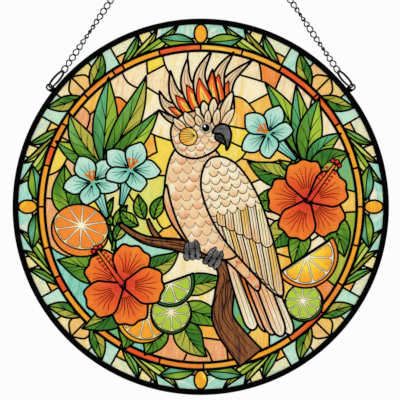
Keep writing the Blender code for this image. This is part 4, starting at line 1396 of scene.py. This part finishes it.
# Stage, light and camera

# Metres: the floor below the panel, the camera's distance and what the photo's width takes in at the panel
FLOOR_DROP = 0.35
FLOOR_REACH = 3.0
CAMERA_DISTANCE = 1.6
PHOTO_WIDTH = 0.3192
SENSOR_WIDTH = 36.0


def build_stage(centre):
    """A plain pale floor below, soft light all round, and the camera straight in front."""
    floor_mesh = bpy.data.meshes.new("floor")
    level, size = centre.z - PANEL_RADIUS - FLOOR_DROP, FLOOR_REACH
    floor_mesh.from_pydata([(-size, -size, level), (size, -size, level), (size, size, level),
                            (-size, size, level)], [], [(0, 1, 2, 3)])
    floor = new_object("floor", floor_mesh)
    material, nodes, shader = new_material("pale_floor")
    place = nodes.add("ShaderNodeTexCoord").outputs["Object"]
    tint = nodes.mix(nodes.noise(place, 4.0), (0.86, 0.86, 0.86, 1.0), (0.9, 0.9, 0.9, 1.0))
    material.node_tree.links.new(tint, shader.inputs["Base Color"])
    shader.inputs["Roughness"].default_value = 0.8
    floor_mesh.materials.append(material)

    world = bpy.data.worlds.new("studio")
    world.use_nodes = True
    world.node_tree.nodes["Background"].inputs["Color"].default_value = (0.975, 0.975, 0.985, 1.0)
    world.node_tree.nodes["Background"].inputs["Strength"].default_value = 1.0
    bpy.context.scene.world = world

    for name, place, size, power in (("key", (-0.9, -1.4, 0.5), 1.0, 9.0),
                                     ("fill", (1.2, -1.2, -0.2), 1.2, 5.0)):
        data = bpy.data.lights.new(name, "AREA")
        data.size = size
        data.energy = power
        light = new_object(name, data)
        light.location = centre + Vector(place)
        light.rotation_euler = (centre - light.location).to_track_quat("-Z", "Y").to_euler()

    data = bpy.data.cameras.new("camera")
    data.sensor_width = SENSOR_WIDTH
    data.lens = SENSOR_WIDTH * CAMERA_DISTANCE / PHOTO_WIDTH
    camera = new_object("camera", data)
    camera.location = centre + Vector((-0.0006, -CAMERA_DISTANCE, 0.0054))
    camera.rotation_euler = (math.pi / 2, 0.0, 0.0)
    bpy.context.scene.camera = camera
    bpy.context.scene.view_settings.view_transform = "Standard"


# What each glass piece stands for: its slot in the record and the start of its CAD nodes' names
PIECES = {
    "border_glass": ("glass_cream", "glass_border"), "band_glass": ("glass_amber", "glass_band"),
    "field_glass": ("glass_straw", "glass_field"), "long_leaves": ("glass_leaf", "glass_long_leaf"),
    "broad_leaves": ("glass_leaf", "glass_broad_leaf"), "orange_half": ("glass_orange", "glass_orange"),
    "lemons": ("glass_lemon", "glass_lemon"), "limes": ("glass_lime", "glass_lime"),
    "trumpets": ("glass_aqua", "glass_trumpet"), "blossoms": ("glass_orange", "glass_blossom"),
    "branch": ("glass_bark", "glass_branch"), "bird_tail": ("glass_peach", "glass_bird_tail"),
    "bird_breast": ("glass_feather", "glass_bird_breast"),
    "bird_wing": ("glass_feather", "glass_bird_wing"), "bird_crest": ("glass_flame", "glass_bird_crest"),
    "bird_head": ("glass_feather", "glass_bird_head"), "bird_beak": ("glass_slate", "glass_bird_beak"),
}


def build_picture(frame, centre, grains):
    """All the panes and lead beads of the picture."""
    draw_picture()
    corners, triangles, shown, sides, leads = overlay()
    rolled, toned = glass_group(), tones_group()
    materials = [glass_material(kind, rolled, toned) for kind in KINDS[:-1]]
    materials.append(black_material("black_paint", grains, 0.0002, 0.6, 0.1, 1500.0, 0.0))
    solder = black_material("black_lead", grains, 0.0002, 0.5, 0.35, 1400.0, 0.01)
    by_piece = {}
    for group in groups_of(triangles, sides, leads):
        shares = {}
        for number in group:
            a, b, c = (corners[k] for k in triangles[number])
            piece = figures[shown[number][-1]].piece
            shares[piece] = shares.get(piece, 0.0) + abs((b - a).cross(c - a))
        by_piece.setdefault(max(shares, key=shares.get), []).append(group)
    for name, (slot, start) in PIECES.items():
        nodes = [node for node in sorted(frame["nodes"]) if node.startswith(start)]
        thing = build_panes(name, by_piece[name], corners, triangles, shown, centre, materials)
        finish_piece(thing, nodes)
    chains = chains_of(leads, corners)
    for style in BEADS:
        mine = [chain for chain in chains if chain[0] == style]
        thing = build_leads(f"lead_{style}_lines", style, mine, corners, centre, solder)
        finish_piece(thing, ["lead_lattice"] if style == "main" else [])


def main():
    for thing in list(bpy.data.objects):
        bpy.data.objects.remove(thing)
    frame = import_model()
    low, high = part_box("outer_frame")
    centre = (low + high) / 2
    ring_centre = Vector((0.0, 0.0, HANGING_RING_WIRE - HANGING_RING_DIAMETER / 2))
    grains = grain_group()
    build_picture(frame, centre, grains)
    coat = black_material("frame_black", grains, 0.0002, 0.5, 0.25, 1200.0, 0.015)
    satin = black_material("chain_black", grains, 0.0012, 0.35, 0.15, 2200.0, 0.1)
    finish_piece(build_frame(centre, coat), ["outer_frame"])
    finish_piece(build_hanging_ring(ring_centre, satin), ["hanging_ring"])
    for side in ("left", "right"):
        finish_piece(build_eyelet(side, centre, coat), [])
        finish_piece(build_split_ring(side, centre, satin), [f"split_ring_{side}"])
        finish_piece(build_chain(side, centre, ring_centre, satin), [f"chain_{side}"])
    build_stage(centre)
    bpy.context.view_layer.update()


main()
